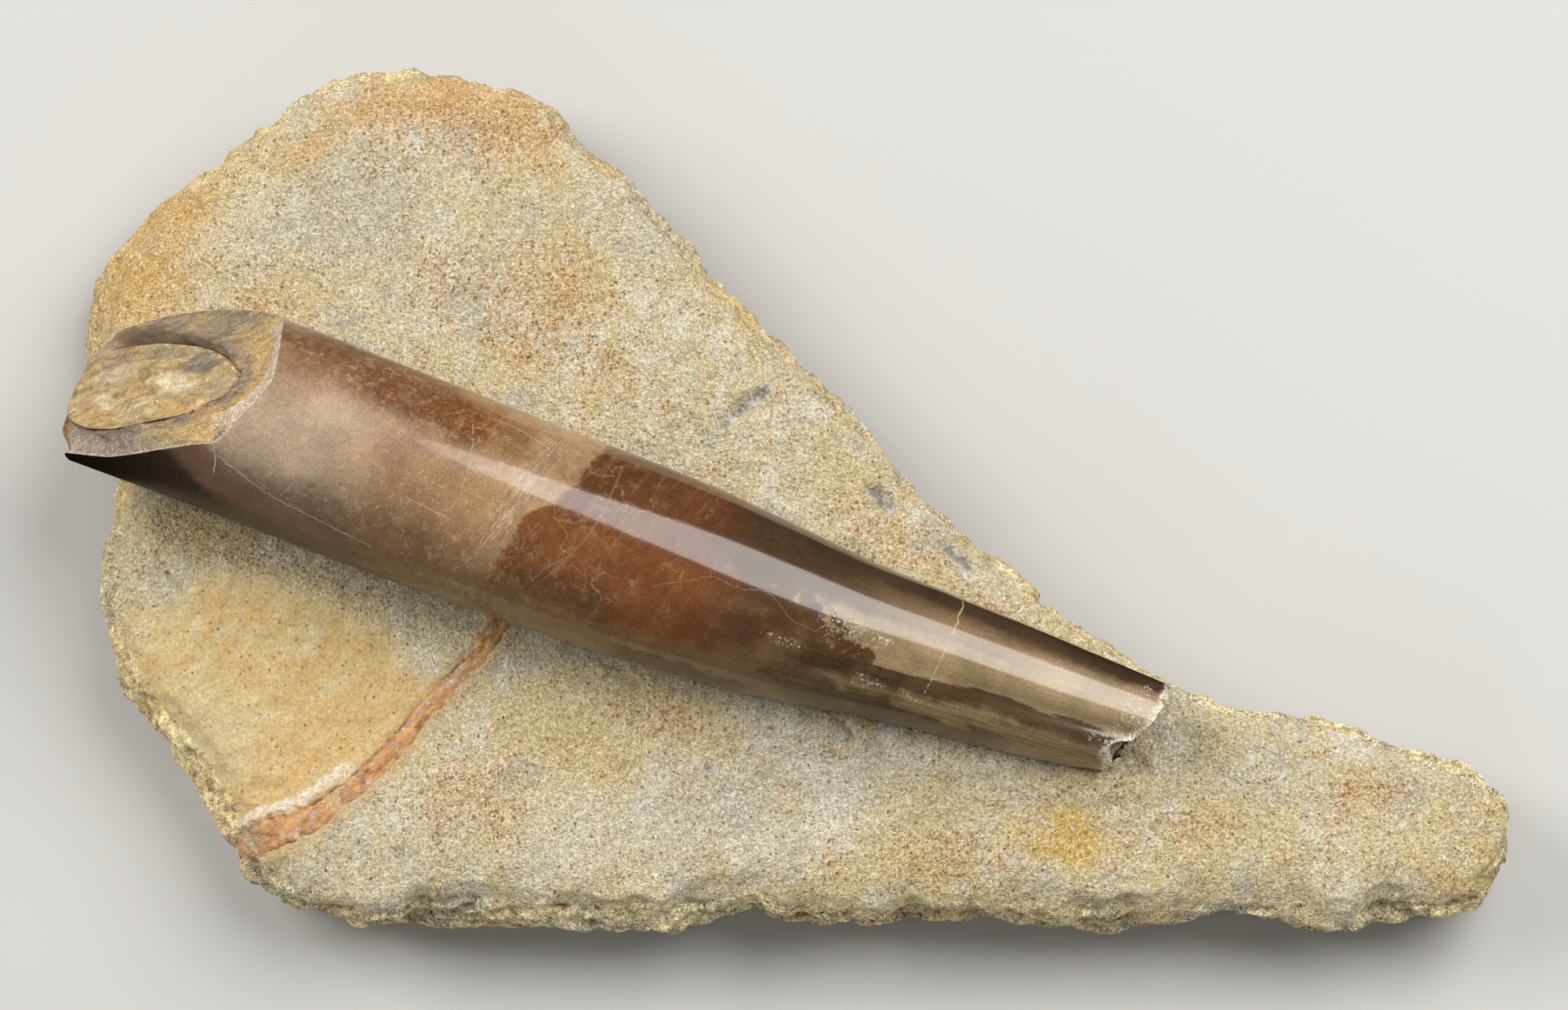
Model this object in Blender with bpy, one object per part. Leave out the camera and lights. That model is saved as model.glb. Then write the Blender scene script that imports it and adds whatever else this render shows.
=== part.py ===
# Belemnite fossil: a thick calcite guard lying in a slab of sandy limestone.
# The guard is broken off obliquely at its wide end, which bares the filled phragmocone in its
# conical alveolus, and broken off near the tip. A band of stained shell crosses the slab.
# The origin is under the middle of the whole piece; +X runs along the slab, +Z is up.
# Sizes are in millimetres up to the point where a mesh is made.

import math

import bmesh
import bpy
from mathutils import Matrix, Vector, noise

MM = 0.001

SPECIMEN_SHIFT = (-0.6, 0.7, 0.0)  # brings the middle of the footprint to the origin

# Slab
SLAB_TOP = 22.5
SLAB_WAIST = 8.0  # height at which the slab is widest
SLAB_RING_POINTS = 150
SLAB_GRAIN = 4.4  # size of the slab's facets
SLAB_SWELL = 1.3  # gentle rise and fall of its top
SLAB_ROUGHNESS = 1.0  # lumps on its broken sides
CONTACT_RISE = 3.5  # stone that climbs the guard's narrow half
CONTACT_REACH = 9.0

# A lower ledge at the back left corner: a point on its edge, which way it faces, its drop
LEDGE_POINT = (-99.0, 53.0)
LEDGE_FACING = (-0.89, 0.46)
LEDGE_DROP = 2.5

# A shallow worn hollow behind the shell band
HOLLOW_MIDDLE = (-77.0, -37.0)
HOLLOW_REACH = (27.0, 17.0)
HOLLOW_DEPTH = 1.5

# Plan of the slab's widest level, anticlockwise from the left end
SLAB_PLAN = (
    (-118.5, 21), (-116, 9), (-112, -1), (-115, -11), (-114.5, -20), (-111.5, -31),
    (-107.5, -37.5), (-103.5, -42.5), (-97, -49.5), (-92, -60), (-87.5, -65.5), (-80, -69.5),
    (-69, -72.5), (-55, -72.5), (-43, -72), (-31, -73), (-20, -73), (-12, -71.5),
    (-7, -69.5), (-1, -72), (12, -72.5), (33, -71.5), (46, -72.5), (57, -73.5),
    (64, -72.5), (70, -70.5), (80, -70.5), (87.5, -74), (91.5, -75), (96, -71.5),
    (104, -72), (112, -70.5), (118.5, -66.5), (121.5, -60), (121.3, -54), (118, -49),
    (110, -45), (103.5, -43), (93, -38.5), (80, -37), (69, -34.3), (59.8, -30),
    (50.5, -24.3), (39.5, -14), (27.5, -5), (15.5, 10), (3.5, 22), (-8.5, 34.5),
    (-20.5, 49), (-32.5, 59.5), (-38, 66.5), (-42.5, 69.5), (-51, 72), (-63, 72.7),
    (-74, 72.5), (-85, 67.5), (-92.5, 61.5), (-98.5, 56.5), (-101, 52.5), (-106, 53),
    (-111, 48), (-117.5, 39.5), (-119.5, 31),
)

# The guard's own frame: origin on its axis at the wide end, +X towards the tip
GUARD_ORIGIN = (-117.5, 18.8, 35.0)
GUARD_HEADING = -19.05  # degrees about Z
GUARD_DIP = 2.3  # degrees down towards the tip
GUARD_FLATNESS = 0.96  # height of its section over width
GUARD_RINGS = 30
GUARD_SIDES = 36
GUARD_START = -6.0
GUARD_END = 196.0

# Distance along the guard, half width, shift of its middle to the left
GUARD_STATIONS = (
    (-10, 16.6, 0.3), (33, 17.0, -0.1), (59, 16.9, -1.0), (85, 16.5, -1.6), (98, 16.2, -1.7),
    (110, 15.6, -1.8), (123, 14.4, -2.0), (136, 12.8, -1.9), (149, 11.6, -1.4),
    (162, 10.7, -1.2), (175, 9.5, -0.9), (187, 8.0, -0.2), (200, 6.6, 0.3),
)

FURROW_START = 128.0
FURROW_DEPTH = 1.1
FURROW_ANGLE = 22.0  # degrees from the crest, towards the front
FURROW_SPREAD = 11.0

# Oblique break at the wide end: height = level + along * x + across * y
BREAK_LEVEL = -11.5
BREAK_ALONG = 0.774
BREAK_ACROSS = -0.578
BREAK_ROUGHNESS = 0.9
BREAK_CELL = 2.5
BREAK_CELLS = (26, 22)
BREAK_CORNER = (-16.0, -27.5)
WALL_RIDGE = 1.2  # the wall behind the fill stands this much higher

# Plan of the steep lower part of that break, from its front to its back
END_PLAN = (
    (7.5, -26), (6.4, -16.7), (2.8, -11), (2.0, -7), (1.4, 1), (2.6, 6),
    (4.2, 9.5), (7, 12.5), (10, 16), (12, 26),
)

# Plan of the break near the tip, from its back to its front
TIP_PLAN = (
    (190, 14), (188, 7), (187.2, 4), (186.8, 1), (185.8, -1.5), (184.4, -3.8),
    (181.8, -5.2), (180.9, -6.8), (182.8, -8.5), (183.5, -16),
)
TIP_UNDERCUT = 2.0

# Phragmocone: distance along the guard, shift left, height, radius
CONE_STATIONS = (
    (-12, -3.8, 1.4, 11.0), (6, -2.2, 1.8, 9.3), (12, -1.5, 2.0, 8.7), (22, -0.4, 2.2, 7.4),
    (28, 0.3, 2.4, 6.6), (45, 0.2, 1.5, 3.4), (60, 0.0, 0.6, 0.5),
)
CONE_RINGS = 15
CONE_SIDES = 22
CONE_PROUD = 0.7  # how far the fill stands above the broken wall

# Stained shell: middle line and width of its exposed edge
SHELL_LINE = (
    (-46.6, -26.3, 2.0), (-52, -31.8, 2.8), (-58.2, -37.8, 2.7), (-62.5, -43.5, 3.0),
    (-68.8, -50, 3.2), (-77.2, -56.4, 3.6), (-85.4, -59.4, 4.6), (-95, -63.5, 4.6),
)
SHELL_STEPS = 22
SHELL_BOTTOM = 13.0
SHELL_TOP = 40.0

GAP = 0.3  # clearance between pieces that touch
FAR = 60.0


def clear_scene():
    for item in list(bpy.data.objects):
        bpy.data.objects.remove(item, do_unlink=True)


def make_material(name, colour, roughness):
    material = bpy.data.materials.new(name)
    material.use_nodes = True
    shader = material.node_tree.nodes["Principled BSDF"]
    shader.inputs["Base Color"].default_value = (*colour, 1.0)
    shader.inputs["Roughness"].default_value = roughness
    shader.inputs["Metallic"].default_value = 0.0
    material.diffuse_color = (*colour, 1.0)
    return material


def make_empty(name, place, turn, parent=None):
    item = bpy.data.objects.new(name, None)
    bpy.context.scene.collection.objects.link(item)
    item.parent = parent
    item.location = [value * MM for value in place]
    item.rotation_euler = [math.radians(value) for value in turn]
    return item


def make_object(name, mesh, material=None, parent=None, helper=False):
    item = bpy.data.objects.new(name, mesh)
    bpy.context.scene.collection.objects.link(item)
    item.parent = parent
    if material:
        mesh.materials.clear()
        mesh.materials.append(material)
    if helper:
        item.hide_render = True
        item.display_type = "WIRE"
    return item


def cut(item, cutter, operation="DIFFERENCE"):
    modifier = item.modifiers.new(cutter.name, "BOOLEAN")
    modifier.operation = operation
    modifier.object = cutter
    modifier.solver = "EXACT"


def finish_mesh(name, shape):
    """Turns a bmesh in millimetres into a mesh in metres with its faces out."""
    bmesh.ops.recalc_face_normals(shape, faces=shape.faces)
    if shape.calc_volume(signed=True) < 0:
        bmesh.ops.reverse_faces(shape, faces=shape.faces)
    bmesh.ops.scale(shape, vec=(MM, MM, MM), verts=shape.verts)
    mesh = bpy.data.meshes.new(name)
    shape.to_mesh(mesh)
    shape.free()
    return mesh


def smooth_step(value):
    value = min(1.0, max(0.0, value))
    return value * value * (3.0 - 2.0 * value)


def through(before, start, end, after, part):
    """A smooth curve through start and end, at this part of the way between them."""
    return 0.5 * (
        2.0 * start
        + (end - before) * part
        + (2.0 * before - 5.0 * start + 4.0 * end - after) * part**2
        + (3.0 * start - before - 3.0 * end + after) * part**3
    )


def at_station(stations, x):
    """The smooth values at distance x of a list whose rows start with a distance."""
    last = len(stations) - 1
    index = 0
    while index < last - 1 and x > stations[index + 1][0]:
        index += 1
    rows = [Vector(stations[min(last, max(0, index + k))][1:]) for k in (-1, 0, 1, 2)]
    start, end = stations[index][0], stations[index + 1][0]
    part = min(1.0, max(0.0, (x - start) / (end - start)))
    return through(*rows, part)


def points_along(points, count, closed):
    """Evenly counted points on a smooth curve through the given ones."""
    spans = len(points) if closed else len(points) - 1
    found = []
    for step in range(count):
        place = step * spans / (count if closed else count - 1)
        index = min(int(place), spans - 1)
        picks = [index + k for k in (-1, 0, 1, 2)]
        if closed:
            picks = [pick % len(points) for pick in picks]
        else:
            picks = [min(len(points) - 1, max(0, pick)) for pick in picks]
        found.append(through(*(Vector(points[pick]) for pick in picks), place - index))
    return found


def join_rings(shape, rings):
    for lower, upper in zip(rings, rings[1:]):
        for side in range(len(lower)):
            after = (side + 1) % len(lower)
            shape.faces.new((lower[side], lower[after], upper[after], upper[side]))


def loft(name, rings):
    """A closed skin over rings of points, with a flat cap at each end."""
    shape = bmesh.new()
    made = [[shape.verts.new(point) for point in ring] for ring in rings]
    join_rings(shape, made)
    shape.faces.new(made[0])
    shape.faces.new(list(reversed(made[-1])))
    return finish_mesh(name, shape)


def prism(name, plan, low, high, lean=0.0):
    """An upright block of this plan; its foot is shifted along X by the lean."""
    foot = [(x - lean, y, low) for x, y in plan]
    head = [(x + lean, y, high) for x, y in plan]
    return loft(name, (foot, head))


# Guard


def guard_ring(x, grow=0.0, furrowed=True):
    half_width, shift = at_station(GUARD_STATIONS, x)
    depth = FURROW_DEPTH * smooth_step((x - FURROW_START) / 45.0) if furrowed else 0.0
    ring = []
    for side in range(GUARD_SIDES):
        angle = math.tau * side / GUARD_SIDES
        from_furrow = math.degrees(angle) + FURROW_ANGLE
        from_furrow = (from_furrow + 180.0) % 360.0 - 180.0
        radius = half_width + grow - depth * math.exp(-((from_furrow / FURROW_SPREAD) ** 2))
        across = shift + radius * math.sin(angle)
        ring.append((x, across, GUARD_FLATNESS * radius * math.cos(angle)))
    return ring


def guard_mesh(name, end, grow=0.0, furrowed=True):
    length = end - GUARD_START
    stations = [GUARD_START + length * ring / GUARD_RINGS for ring in range(GUARD_RINGS + 1)]
    return loft(name, [guard_ring(x, grow, furrowed) for x in stations])


def break_height(x, y, proud):
    """Height of the oblique break; proud raises it over the middle of the fill."""
    shift, level, radius = at_station(CONE_STATIONS, x)
    height = BREAK_LEVEL + BREAK_ALONG * x + BREAK_ACROSS * y
    height += BREAK_ROUGHNESS * noise.noise(Vector((x, y, 3.0)) / 7.0)
    beyond = math.hypot(y - shift, height - level) - radius
    if y > shift and not proud:
        height += WALL_RIDGE * math.exp(-(((beyond - 1.0) / 1.8) ** 2))
    if proud:
        height += proud * (1.0 + smooth_step(-beyond / radius))
    return height


def break_cutter(name, proud=0.0):
    """Everything above the oblique break."""
    shape = bmesh.new()
    columns, rows = BREAK_CELLS
    x_start, y_start = BREAK_CORNER
    grids = []
    for top in (False, True):
        grid = []
        for column in range(columns):
            x = x_start + column * BREAK_CELL
            line = []
            for row in range(rows):
                y = y_start + row * BREAK_CELL
                line.append(shape.verts.new((x, y, FAR if top else break_height(x, y, proud))))
            grid.append(line)
        grids.append(grid)
    for grid in grids:
        for column in range(columns - 1):
            for row in range(rows - 1):
                corners = (grid[column][row], grid[column + 1][row])
                corners += (grid[column + 1][row + 1], grid[column][row + 1])
                shape.faces.new(corners)
    rims = []
    for grid in grids:
        rim = [line[0] for line in grid] + grid[-1][1:]
        rim += [line[-1] for line in reversed(grid[:-1])] + list(reversed(grid[0][1:-1]))
        rims.append(rim)
    join_rings(shape, rims)
    return finish_mesh(name, shape)


def cone_mesh(name, grow):
    first, last = CONE_STATIONS[0][0], CONE_STATIONS[-1][0]
    rings = []
    for step in range(CONE_RINGS + 1):
        x = first + (last - first) * step / CONE_RINGS
        shift, level, radius = at_station(CONE_STATIONS, x)
        ring = []
        for side in range(CONE_SIDES):
            angle = math.tau * side / CONE_SIDES
            reach = radius + grow
            ring.append((x + grow, shift + reach * math.sin(angle), level + reach * math.cos(angle)))
        rings.append(ring)
    return loft(name, rings)


def build_guard(axis):
    calcite = make_material("calcite", (0.25, 0.12, 0.07), 0.2)
    fill = make_material("phragmocone_fill", (0.55, 0.38, 0.18), 0.6)
    end_plan = [*END_PLAN, (-FAR, 26), (-FAR, -26)]
    tip_plan = [*TIP_PLAN, (GUARD_END + 20, -16), (GUARD_END + 20, 14)]
    wall_break = make_object("wall_break", break_cutter("wall_break"), None, axis, True)
    fill_break = make_object("fill_break", break_cutter("fill_break", CONE_PROUD), None, axis, True)
    end_break = make_object("end_break", prism("end_break", end_plan, -FAR, FAR), None, axis, True)
    alveolus = make_object("alveolus", cone_mesh("alveolus", GAP), None, axis, True)
    tip_mesh = prism("tip_break", tip_plan, -22.0, 22.0, TIP_UNDERCUT)
    tip_break = make_object("tip_break", tip_mesh, None, axis, True)

    guard = make_object("guard", guard_mesh("guard", GUARD_END), calcite, axis)
    for cutter in (wall_break, end_break, alveolus, tip_break):
        cut(guard, cutter)
    phragmocone = make_object("phragmocone", cone_mesh("phragmocone", 0.0), fill, axis)
    for cutter in (fill_break, end_break):
        cut(phragmocone, cutter)
    for item in (guard, phragmocone):
        item.data.shade_smooth()
        item.data.set_sharp_from_angle(angle=math.radians(30))


# Slab


def top_inset(outward):
    """How far the top edge stands back from the widest level, for a side facing this way."""
    front = max(0.0, -outward.y)
    left = max(0.0, -outward.x)
    return 3.0 + 4.5 * front**2 + 3.0 * left**2


def slab_ring(plan, outwards, height, share, foot_inset):
    ring = []
    for point, outward in zip(plan, outwards):
        inset = foot_inset + share * top_inset(outward)
        ring.append((point.x - outward.x * inset, point.y - outward.y * inset, height))
    return ring


def outward_of(plan, index, reach=3):
    before, after = plan[index - reach], plan[(index + reach) % len(plan)]
    along = (after - before).normalized()
    return Vector((along.y, -along.x))


def contact_rise(x, y, into_guard):
    """Stone drawn up along both sides of the guard's narrow half and round its tip."""
    place = into_guard @ Vector((x, y, GUARD_ORIGIN[2]))
    half_width, shift = at_station(GUARD_STATIONS, min(190.0, max(0.0, place.x)))
    beside = max(0.0, abs(place.y - shift) - half_width)
    beyond = max(0.0, place.x - 190.0)
    nearness = 1.0 - smooth_step(math.hypot(beside, beyond) / CONTACT_REACH)
    return CONTACT_RISE * nearness * smooth_step((place.x - 95.0) / 45.0)


def slab_height(x, y, into_guard):
    swell = noise.noise(Vector((x, y, 0.0)) / 38.0) + 0.5 * noise.noise(Vector((x, y, 9.0)) / 17.0)
    # The stone is a little thinner towards its left end and along the narrow arm
    lean = -1.5 * smooth_step((-70.0 - x) / 45.0) - 1.5 * smooth_step((x - 85.0) / 35.0)
    past_ledge = (x - LEDGE_POINT[0]) * LEDGE_FACING[0] + (y - LEDGE_POINT[1]) * LEDGE_FACING[1]
    ledge = LEDGE_DROP * smooth_step(past_ledge / 3.0)
    across = (x - HOLLOW_MIDDLE[0]) / HOLLOW_REACH[0]
    along = (y - HOLLOW_MIDDLE[1]) / HOLLOW_REACH[1]
    hollow = HOLLOW_DEPTH * smooth_step(1.0 - across**2 - along**2)
    return SLAB_TOP + lean - ledge - hollow + SLAB_SWELL * swell + contact_rise(x, y, into_guard)


def slab_mesh(into_guard):
    corners = [(x, y, 0.0) for x, y in SLAB_PLAN]
    plan = [point.to_2d() for point in points_along(corners, SLAB_RING_POINTS, True)]
    outwards = [outward_of(plan, index) for index in range(len(plan))]
    levels = (
        (-6.0, 0.0, 7.0), (2.0, 0.0, 2.5), (SLAB_WAIST, 0.0, 0.0),
        (SLAB_TOP - 6.0, 0.3, 0.0), (SLAB_TOP, 1.0, 0.0),
    )
    rings = [slab_ring(plan, outwards, height, share, foot) for height, share, foot in levels]
    rough = make_object("slab_rough", loft("slab_rough", rings), helper=True)
    remesh = rough.modifiers.new("facets", "REMESH")
    remesh.mode = "VOXEL"
    remesh.voxel_size = SLAB_GRAIN * MM
    graph = bpy.context.evaluated_depsgraph_get()
    shape = bmesh.new()
    shape.from_mesh(rough.evaluated_get(graph).to_mesh())
    bpy.data.objects.remove(rough)
    bmesh.ops.scale(shape, vec=(1 / MM, 1 / MM, 1 / MM), verts=shape.verts)
    weather(shape, into_guard)
    everything = list(shape.verts) + list(shape.edges) + list(shape.faces)
    cut_plane = bmesh.ops.bisect_plane(
        shape, geom=everything, dist=0.01, plane_co=(0, 0, 0), plane_no=(0, 0, -1),
        use_snap_center=True, clear_outer=True,
    )
    rim = [piece for piece in cut_plane["geom_cut"] if isinstance(piece, bmesh.types.BMEdge)]
    bmesh.ops.contextual_create(shape, geom=rim)
    return finish_mesh("slab", shape)


def weather(shape, into_guard):
    """Gives the remeshed slab its uneven top and its lumpy, ledged sides."""
    shape.normal_update()
    places = []
    for vertex in shape.verts:
        x, y, z = vertex.co
        height = z * slab_height(x, y, into_guard) / SLAB_TOP if z > 0 else z
        side = 1.0 - abs(vertex.normal.z)
        lumps = noise.noise(vertex.co / 9.0) + 0.6 * noise.noise(vertex.co / 4.5)
        ledges = 0.6 * math.sin(z * 1.1 + 2.0 * noise.noise(vertex.co / 25.0))
        push = SLAB_ROUGHNESS * side * (lumps + ledges)
        flat_normal = Vector((vertex.normal.x, vertex.normal.y, 0.0))
        places.append(Vector((x, y, height)) + flat_normal * push)
    for vertex, place in zip(shape.verts, places):
        vertex.co = place


def shell_mesh(name, grow):
    """An upright curved plate; its top is trimmed to the slab's surface."""
    middle = points_along(SHELL_LINE, SHELL_STEPS, False)
    foot, head = [], []
    for side in (1.0, -1.0):
        line = []
        for index, point in enumerate(middle):
            before, after = middle[max(0, index - 1)], middle[min(len(middle) - 1, index + 1)]
            along = (after - before).to_2d().normalized()
            reach = side * (point.z / 2.0 + grow)
            ends = grow * ((index == len(middle) - 1) - (index == 0))
            x = point.x - along.y * reach + along.x * ends
            y = point.y + along.x * reach + along.y * ends
            line.append((x, y))
        if side < 0:
            line.reverse()
        foot += [(x, y, SHELL_BOTTOM - grow) for x, y in line]
        head += [(x, y, SHELL_TOP) for x, y in line]
    return loft(name, (foot, head))


def build_slab(specimen, axis):
    stone = make_material("sandy_limestone", (0.62, 0.5, 0.32), 0.9)
    stained = make_material("stained_shell", (0.5, 0.22, 0.08), 0.6)
    bpy.context.view_layer.update()
    into_guard = Matrix.Scale(1 / MM, 4) @ axis.matrix_local.inverted() @ Matrix.Scale(MM, 4)
    mesh = slab_mesh(into_guard)
    trough_mesh = guard_mesh("trough", GUARD_END - 6.0, GAP, furrowed=False)
    trough = make_object("trough", trough_mesh, None, axis, True)
    slot = make_object("shell_slot", shell_mesh("shell_slot", GAP), None, specimen, True)
    whole_slab = make_object("whole_slab", mesh.copy(), None, specimen, True)

    slab = make_object("matrix_slab", mesh, stone, specimen)
    cut(slab, trough)
    cut(slab, slot)
    shell = make_object("shell_band", shell_mesh("shell_band", 0.0), stained, specimen)
    cut(shell, whole_slab, "INTERSECT")


def build():
    clear_scene()
    specimen = make_empty("specimen", SPECIMEN_SHIFT, (0.0, 0.0, 0.0))
    axis = make_empty("guard_axis", GUARD_ORIGIN, (0.0, GUARD_DIP, GUARD_HEADING), specimen)
    build_guard(axis)
    build_slab(specimen, axis)


build()
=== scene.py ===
# A belemnite fossil on its slab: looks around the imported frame.
# Lengths are in metres; shapes on the guard are worked out in its own millimetres first.
import math

import bmesh
import bpy
import numpy as np
from mathutils import Euler, Matrix, Vector, noise


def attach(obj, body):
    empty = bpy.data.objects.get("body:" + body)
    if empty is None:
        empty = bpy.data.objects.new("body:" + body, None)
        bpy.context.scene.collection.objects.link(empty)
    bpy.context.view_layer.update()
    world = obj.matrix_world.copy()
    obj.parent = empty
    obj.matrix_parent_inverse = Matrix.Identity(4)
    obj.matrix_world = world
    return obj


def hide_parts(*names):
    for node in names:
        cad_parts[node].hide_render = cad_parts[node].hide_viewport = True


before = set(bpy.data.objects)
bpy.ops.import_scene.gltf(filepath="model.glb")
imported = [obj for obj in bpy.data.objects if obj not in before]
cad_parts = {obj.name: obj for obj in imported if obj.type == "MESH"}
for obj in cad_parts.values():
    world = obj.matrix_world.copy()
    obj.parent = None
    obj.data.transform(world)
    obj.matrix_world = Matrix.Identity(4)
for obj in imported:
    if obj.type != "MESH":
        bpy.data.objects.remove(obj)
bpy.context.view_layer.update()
mm = 0.001

# Camera, light and floor

view = {"lens": 100, "sensor": 36, "tilt": 12, "distance": 0.722, "target": (-0.0006, -0.0033, 0.022)}

lights = {
    "key": {"place": (0.7, 0.4, 0.85), "aim": (0.7, -0.069, -0.033), "size": (1.31, 0.94), "power": 17.2,
            "colour": (1, 0.985, 0.96), "shape": "ELLIPSE"},
    "leftKey": {"place": (-0.75, 0.3, 0.66), "aim": (-0.03, 0, 0.03), "size": (0.6, 0.6), "power": 8.6,
                "colour": (1, 0.98, 0.95), "shape": "RECTANGLE"},
    "frontFill": {"place": (-0.2, -1.1, 0.7), "aim": (0, 0, 0.02), "size": (0.8, 0.8), "power": 2.6,
                  "colour": (1, 0.98, 0.95), "shape": "RECTANGLE"},
    "sky": {"colour": (0.96, 0.98, 1), "strength": 0.19},
}


def placeCamera():
    camera = bpy.data.cameras.new("camera")
    camera.lens, camera.sensor_width = view["lens"], view["sensor"]
    camera.clip_start, camera.clip_end = 0.01, 20
    holder = bpy.data.objects.new("camera", camera)
    bpy.context.scene.collection.objects.link(holder)
    tilt = math.radians(view["tilt"])
    away = Vector((0, -math.sin(tilt), math.cos(tilt)))
    holder.location = Vector(view["target"]) + away * view["distance"]
    holder.rotation_euler = (tilt, 0, 0)
    bpy.context.scene.camera = holder


def placeLights():
    for name in ("key", "leftKey", "frontFill"):
        values = lights[name]
        lamp = bpy.data.lights.new(name, "AREA")
        lamp.shape, (lamp.size, lamp.size_y) = values["shape"], values["size"]
        lamp.energy, lamp.color = values["power"], values["colour"]
        holder = bpy.data.objects.new(name, lamp)
        bpy.context.scene.collection.objects.link(holder)
        holder.location = values["place"]
        toward = Vector(values["aim"]) - Vector(values["place"])
        holder.rotation_euler = toward.to_track_quat("-Z", "Y").to_euler()
        holder.visible_glossy = name != "frontFill"
    world = bpy.data.worlds.new("sky")
    bpy.context.scene.world = world
    world.use_nodes = True
    background = world.node_tree.nodes["Background"]
    background.inputs["Color"].default_value = (*lights["sky"]["colour"], 1)
    background.inputs["Strength"].default_value = lights["sky"]["strength"]
    world.cycles_visibility.glossy = False
    bpy.context.scene.view_settings.view_transform = "Standard"


placeCamera()
placeLights()
print("camera and lights placed")

# Node helpers: most give back an output socket of the material that is being made

making = {"tree": None}


def newMaterial(name):
    material = bpy.data.materials.new(name)
    material.use_nodes = True
    making["tree"] = material.node_tree
    return material, material.node_tree.nodes["Principled BSDF"]


def newNode(kind):
    return making["tree"].nodes.new("ShaderNode" + kind)


def feed(socket, value):
    if isinstance(value, bpy.types.NodeSocket):
        making["tree"].links.new(value, socket)
    elif isinstance(value, (tuple, list)) and len(value) == 3 and socket.type == "RGBA":
        socket.default_value = (*value, 1)
    else:
        socket.default_value = value


def feedAll(node, values):
    for name, value in values.items():
        feed(node.inputs[name], value)


def calc(operation, *values):
    node = newNode("Math")
    node.operation = operation
    for socket, value in zip(node.inputs, values):
        feed(socket, value)
    return node.outputs[0]


def plus(first, second):
    return calc("ADD", first, second)


def minus(first, second):
    return calc("SUBTRACT", first, second)


def larger(first, second):
    return calc("MAXIMUM", first, second)


def largest(values):
    result = values[0]
    for value in values[1:]:
        result = larger(result, value)
    return result


def times(*values):
    result = values[0]
    for value in values[1:]:
        result = calc("MULTIPLY", result, value)
    return result


# A noise turned into a swing about 0, half this amount either way.
def swing(value, amount):
    return times(minus(value, 0.5), amount)


# From lowOut at low to highOut at high, and level past them.
def ramp(value, low, high, lowOut=0, highOut=1, soft=True):
    node = newNode("MapRange")
    node.interpolation_type = "SMOOTHSTEP" if soft else "LINEAR"
    for socket, entry in zip(node.inputs, (value, low, high, lowOut, highOut)):
        feed(socket, entry)
    return node.outputs[0]


# Rises from start to full, then falls from end to gone.
def band(value, start, full, end, gone):
    return times(ramp(value, start, full), ramp(value, gone, end))


def mix(factor, first, second, kind="MIX"):
    node = newNode("Mix")
    node.data_type, node.blend_type = "RGBA", kind
    for index, value in ((0, factor), (6, first), (7, second)):
        feed(node.inputs[index], value)
    return node.outputs[2]


# The colour with a tint laid over it where all the masks say.
def tinted(colour, tint, *masks):
    return mix(times(*masks), colour, tint)


# Tints laid over the colour in turn: each row is a tint and its masks.
def layered(colour, *rows):
    for row in rows:
        colour = tinted(colour, *row)
    return colour


def shaded(colour, factor):
    return mix(1, colour, factor, "MULTIPLY")


def grain(place, scale, detail=2, rough=0.5, twist=0, colour=False):
    node = newNode("TexNoise")
    feedAll(node,
            {"Vector": place, "Scale": scale, "Detail": detail, "Roughness": rough, "Distortion": twist})
    return node.outputs["Color" if colour else "Fac"]


def cells(place, scale, feature="F1"):
    node = newNode("TexVoronoi")
    node.feature = feature
    feed(node.inputs["Vector"], place)
    node.inputs["Scale"].default_value = scale
    return node.outputs["Distance"]


# Distance to the middle of the cell, and three random numbers of the cell's own.
def cellPair(place, scale):
    gap = cells(place, scale)
    return gap, split(gap.node.outputs["Color"])


def joined(*values):
    node = newNode("CombineXYZ")
    for socket, value in zip(node.inputs, values):
        feed(socket, value)
    return node.outputs[0]


def mapped(place, location=(0, 0, 0), turn=(0, 0, 0), size=(1, 1, 1)):
    node = newNode("Mapping")
    node.vector_type = "TEXTURE"
    feed(node.inputs["Vector"], place)
    node.inputs["Location"].default_value = location
    node.inputs["Rotation"].default_value = [math.radians(angle) for angle in turn]
    node.inputs["Scale"].default_value = size
    return node.outputs[0]


# A grain drawn out by these sizes, turned by this angle.
def streaked(place, turn, size, rough, detail=4):
    return grain(mapped(place, turn=(0, 0, turn), size=size), 1, detail, rough)


# place shifted by a noise colour, by half this amount either way.
def moved(place, jitter, amount):
    centred = newNode("VectorMath")
    centred.operation = "SUBTRACT"
    feed(centred.inputs[0], jitter)
    centred.inputs[1].default_value = (0.5, 0.5, 0.5)
    shifted = newNode("VectorMath")
    shifted.operation = "MULTIPLY_ADD"
    for socket, value in zip(shifted.inputs, (centred.outputs[0], [amount] * 3, place)):
        feed(socket, value)
    return shifted.outputs[0]


# 1 inside an oval of these half sizes, falling to 0 over the edge share of them.
def area(place, centre, size, turn=0, edge=0.4):
    node = newNode("TexGradient")
    node.gradient_type = "SPHERICAL"
    feed(node.inputs["Vector"], place)
    reach = 1 + edge
    oval = node.texture_mapping
    oval.vector_type, oval.translation = "TEXTURE", centre
    oval.rotation = (0, 0, math.radians(turn))
    oval.scale = [length * reach for length in size]
    return ramp(node.outputs["Fac"], 0, 1 - (1 - edge) / reach)


# The same for an oval that reaches through the stone from top to bottom.
def column(place, middle, size, turn, edge):
    return area(place, (*middle, 0), (*size, 100), turn, edge)


def split(place):
    node = newNode("SeparateXYZ")
    feed(node.inputs[0], place)
    return node.outputs


def objectPlace():
    return newNode("TexCoord").outputs["Object"]


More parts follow.
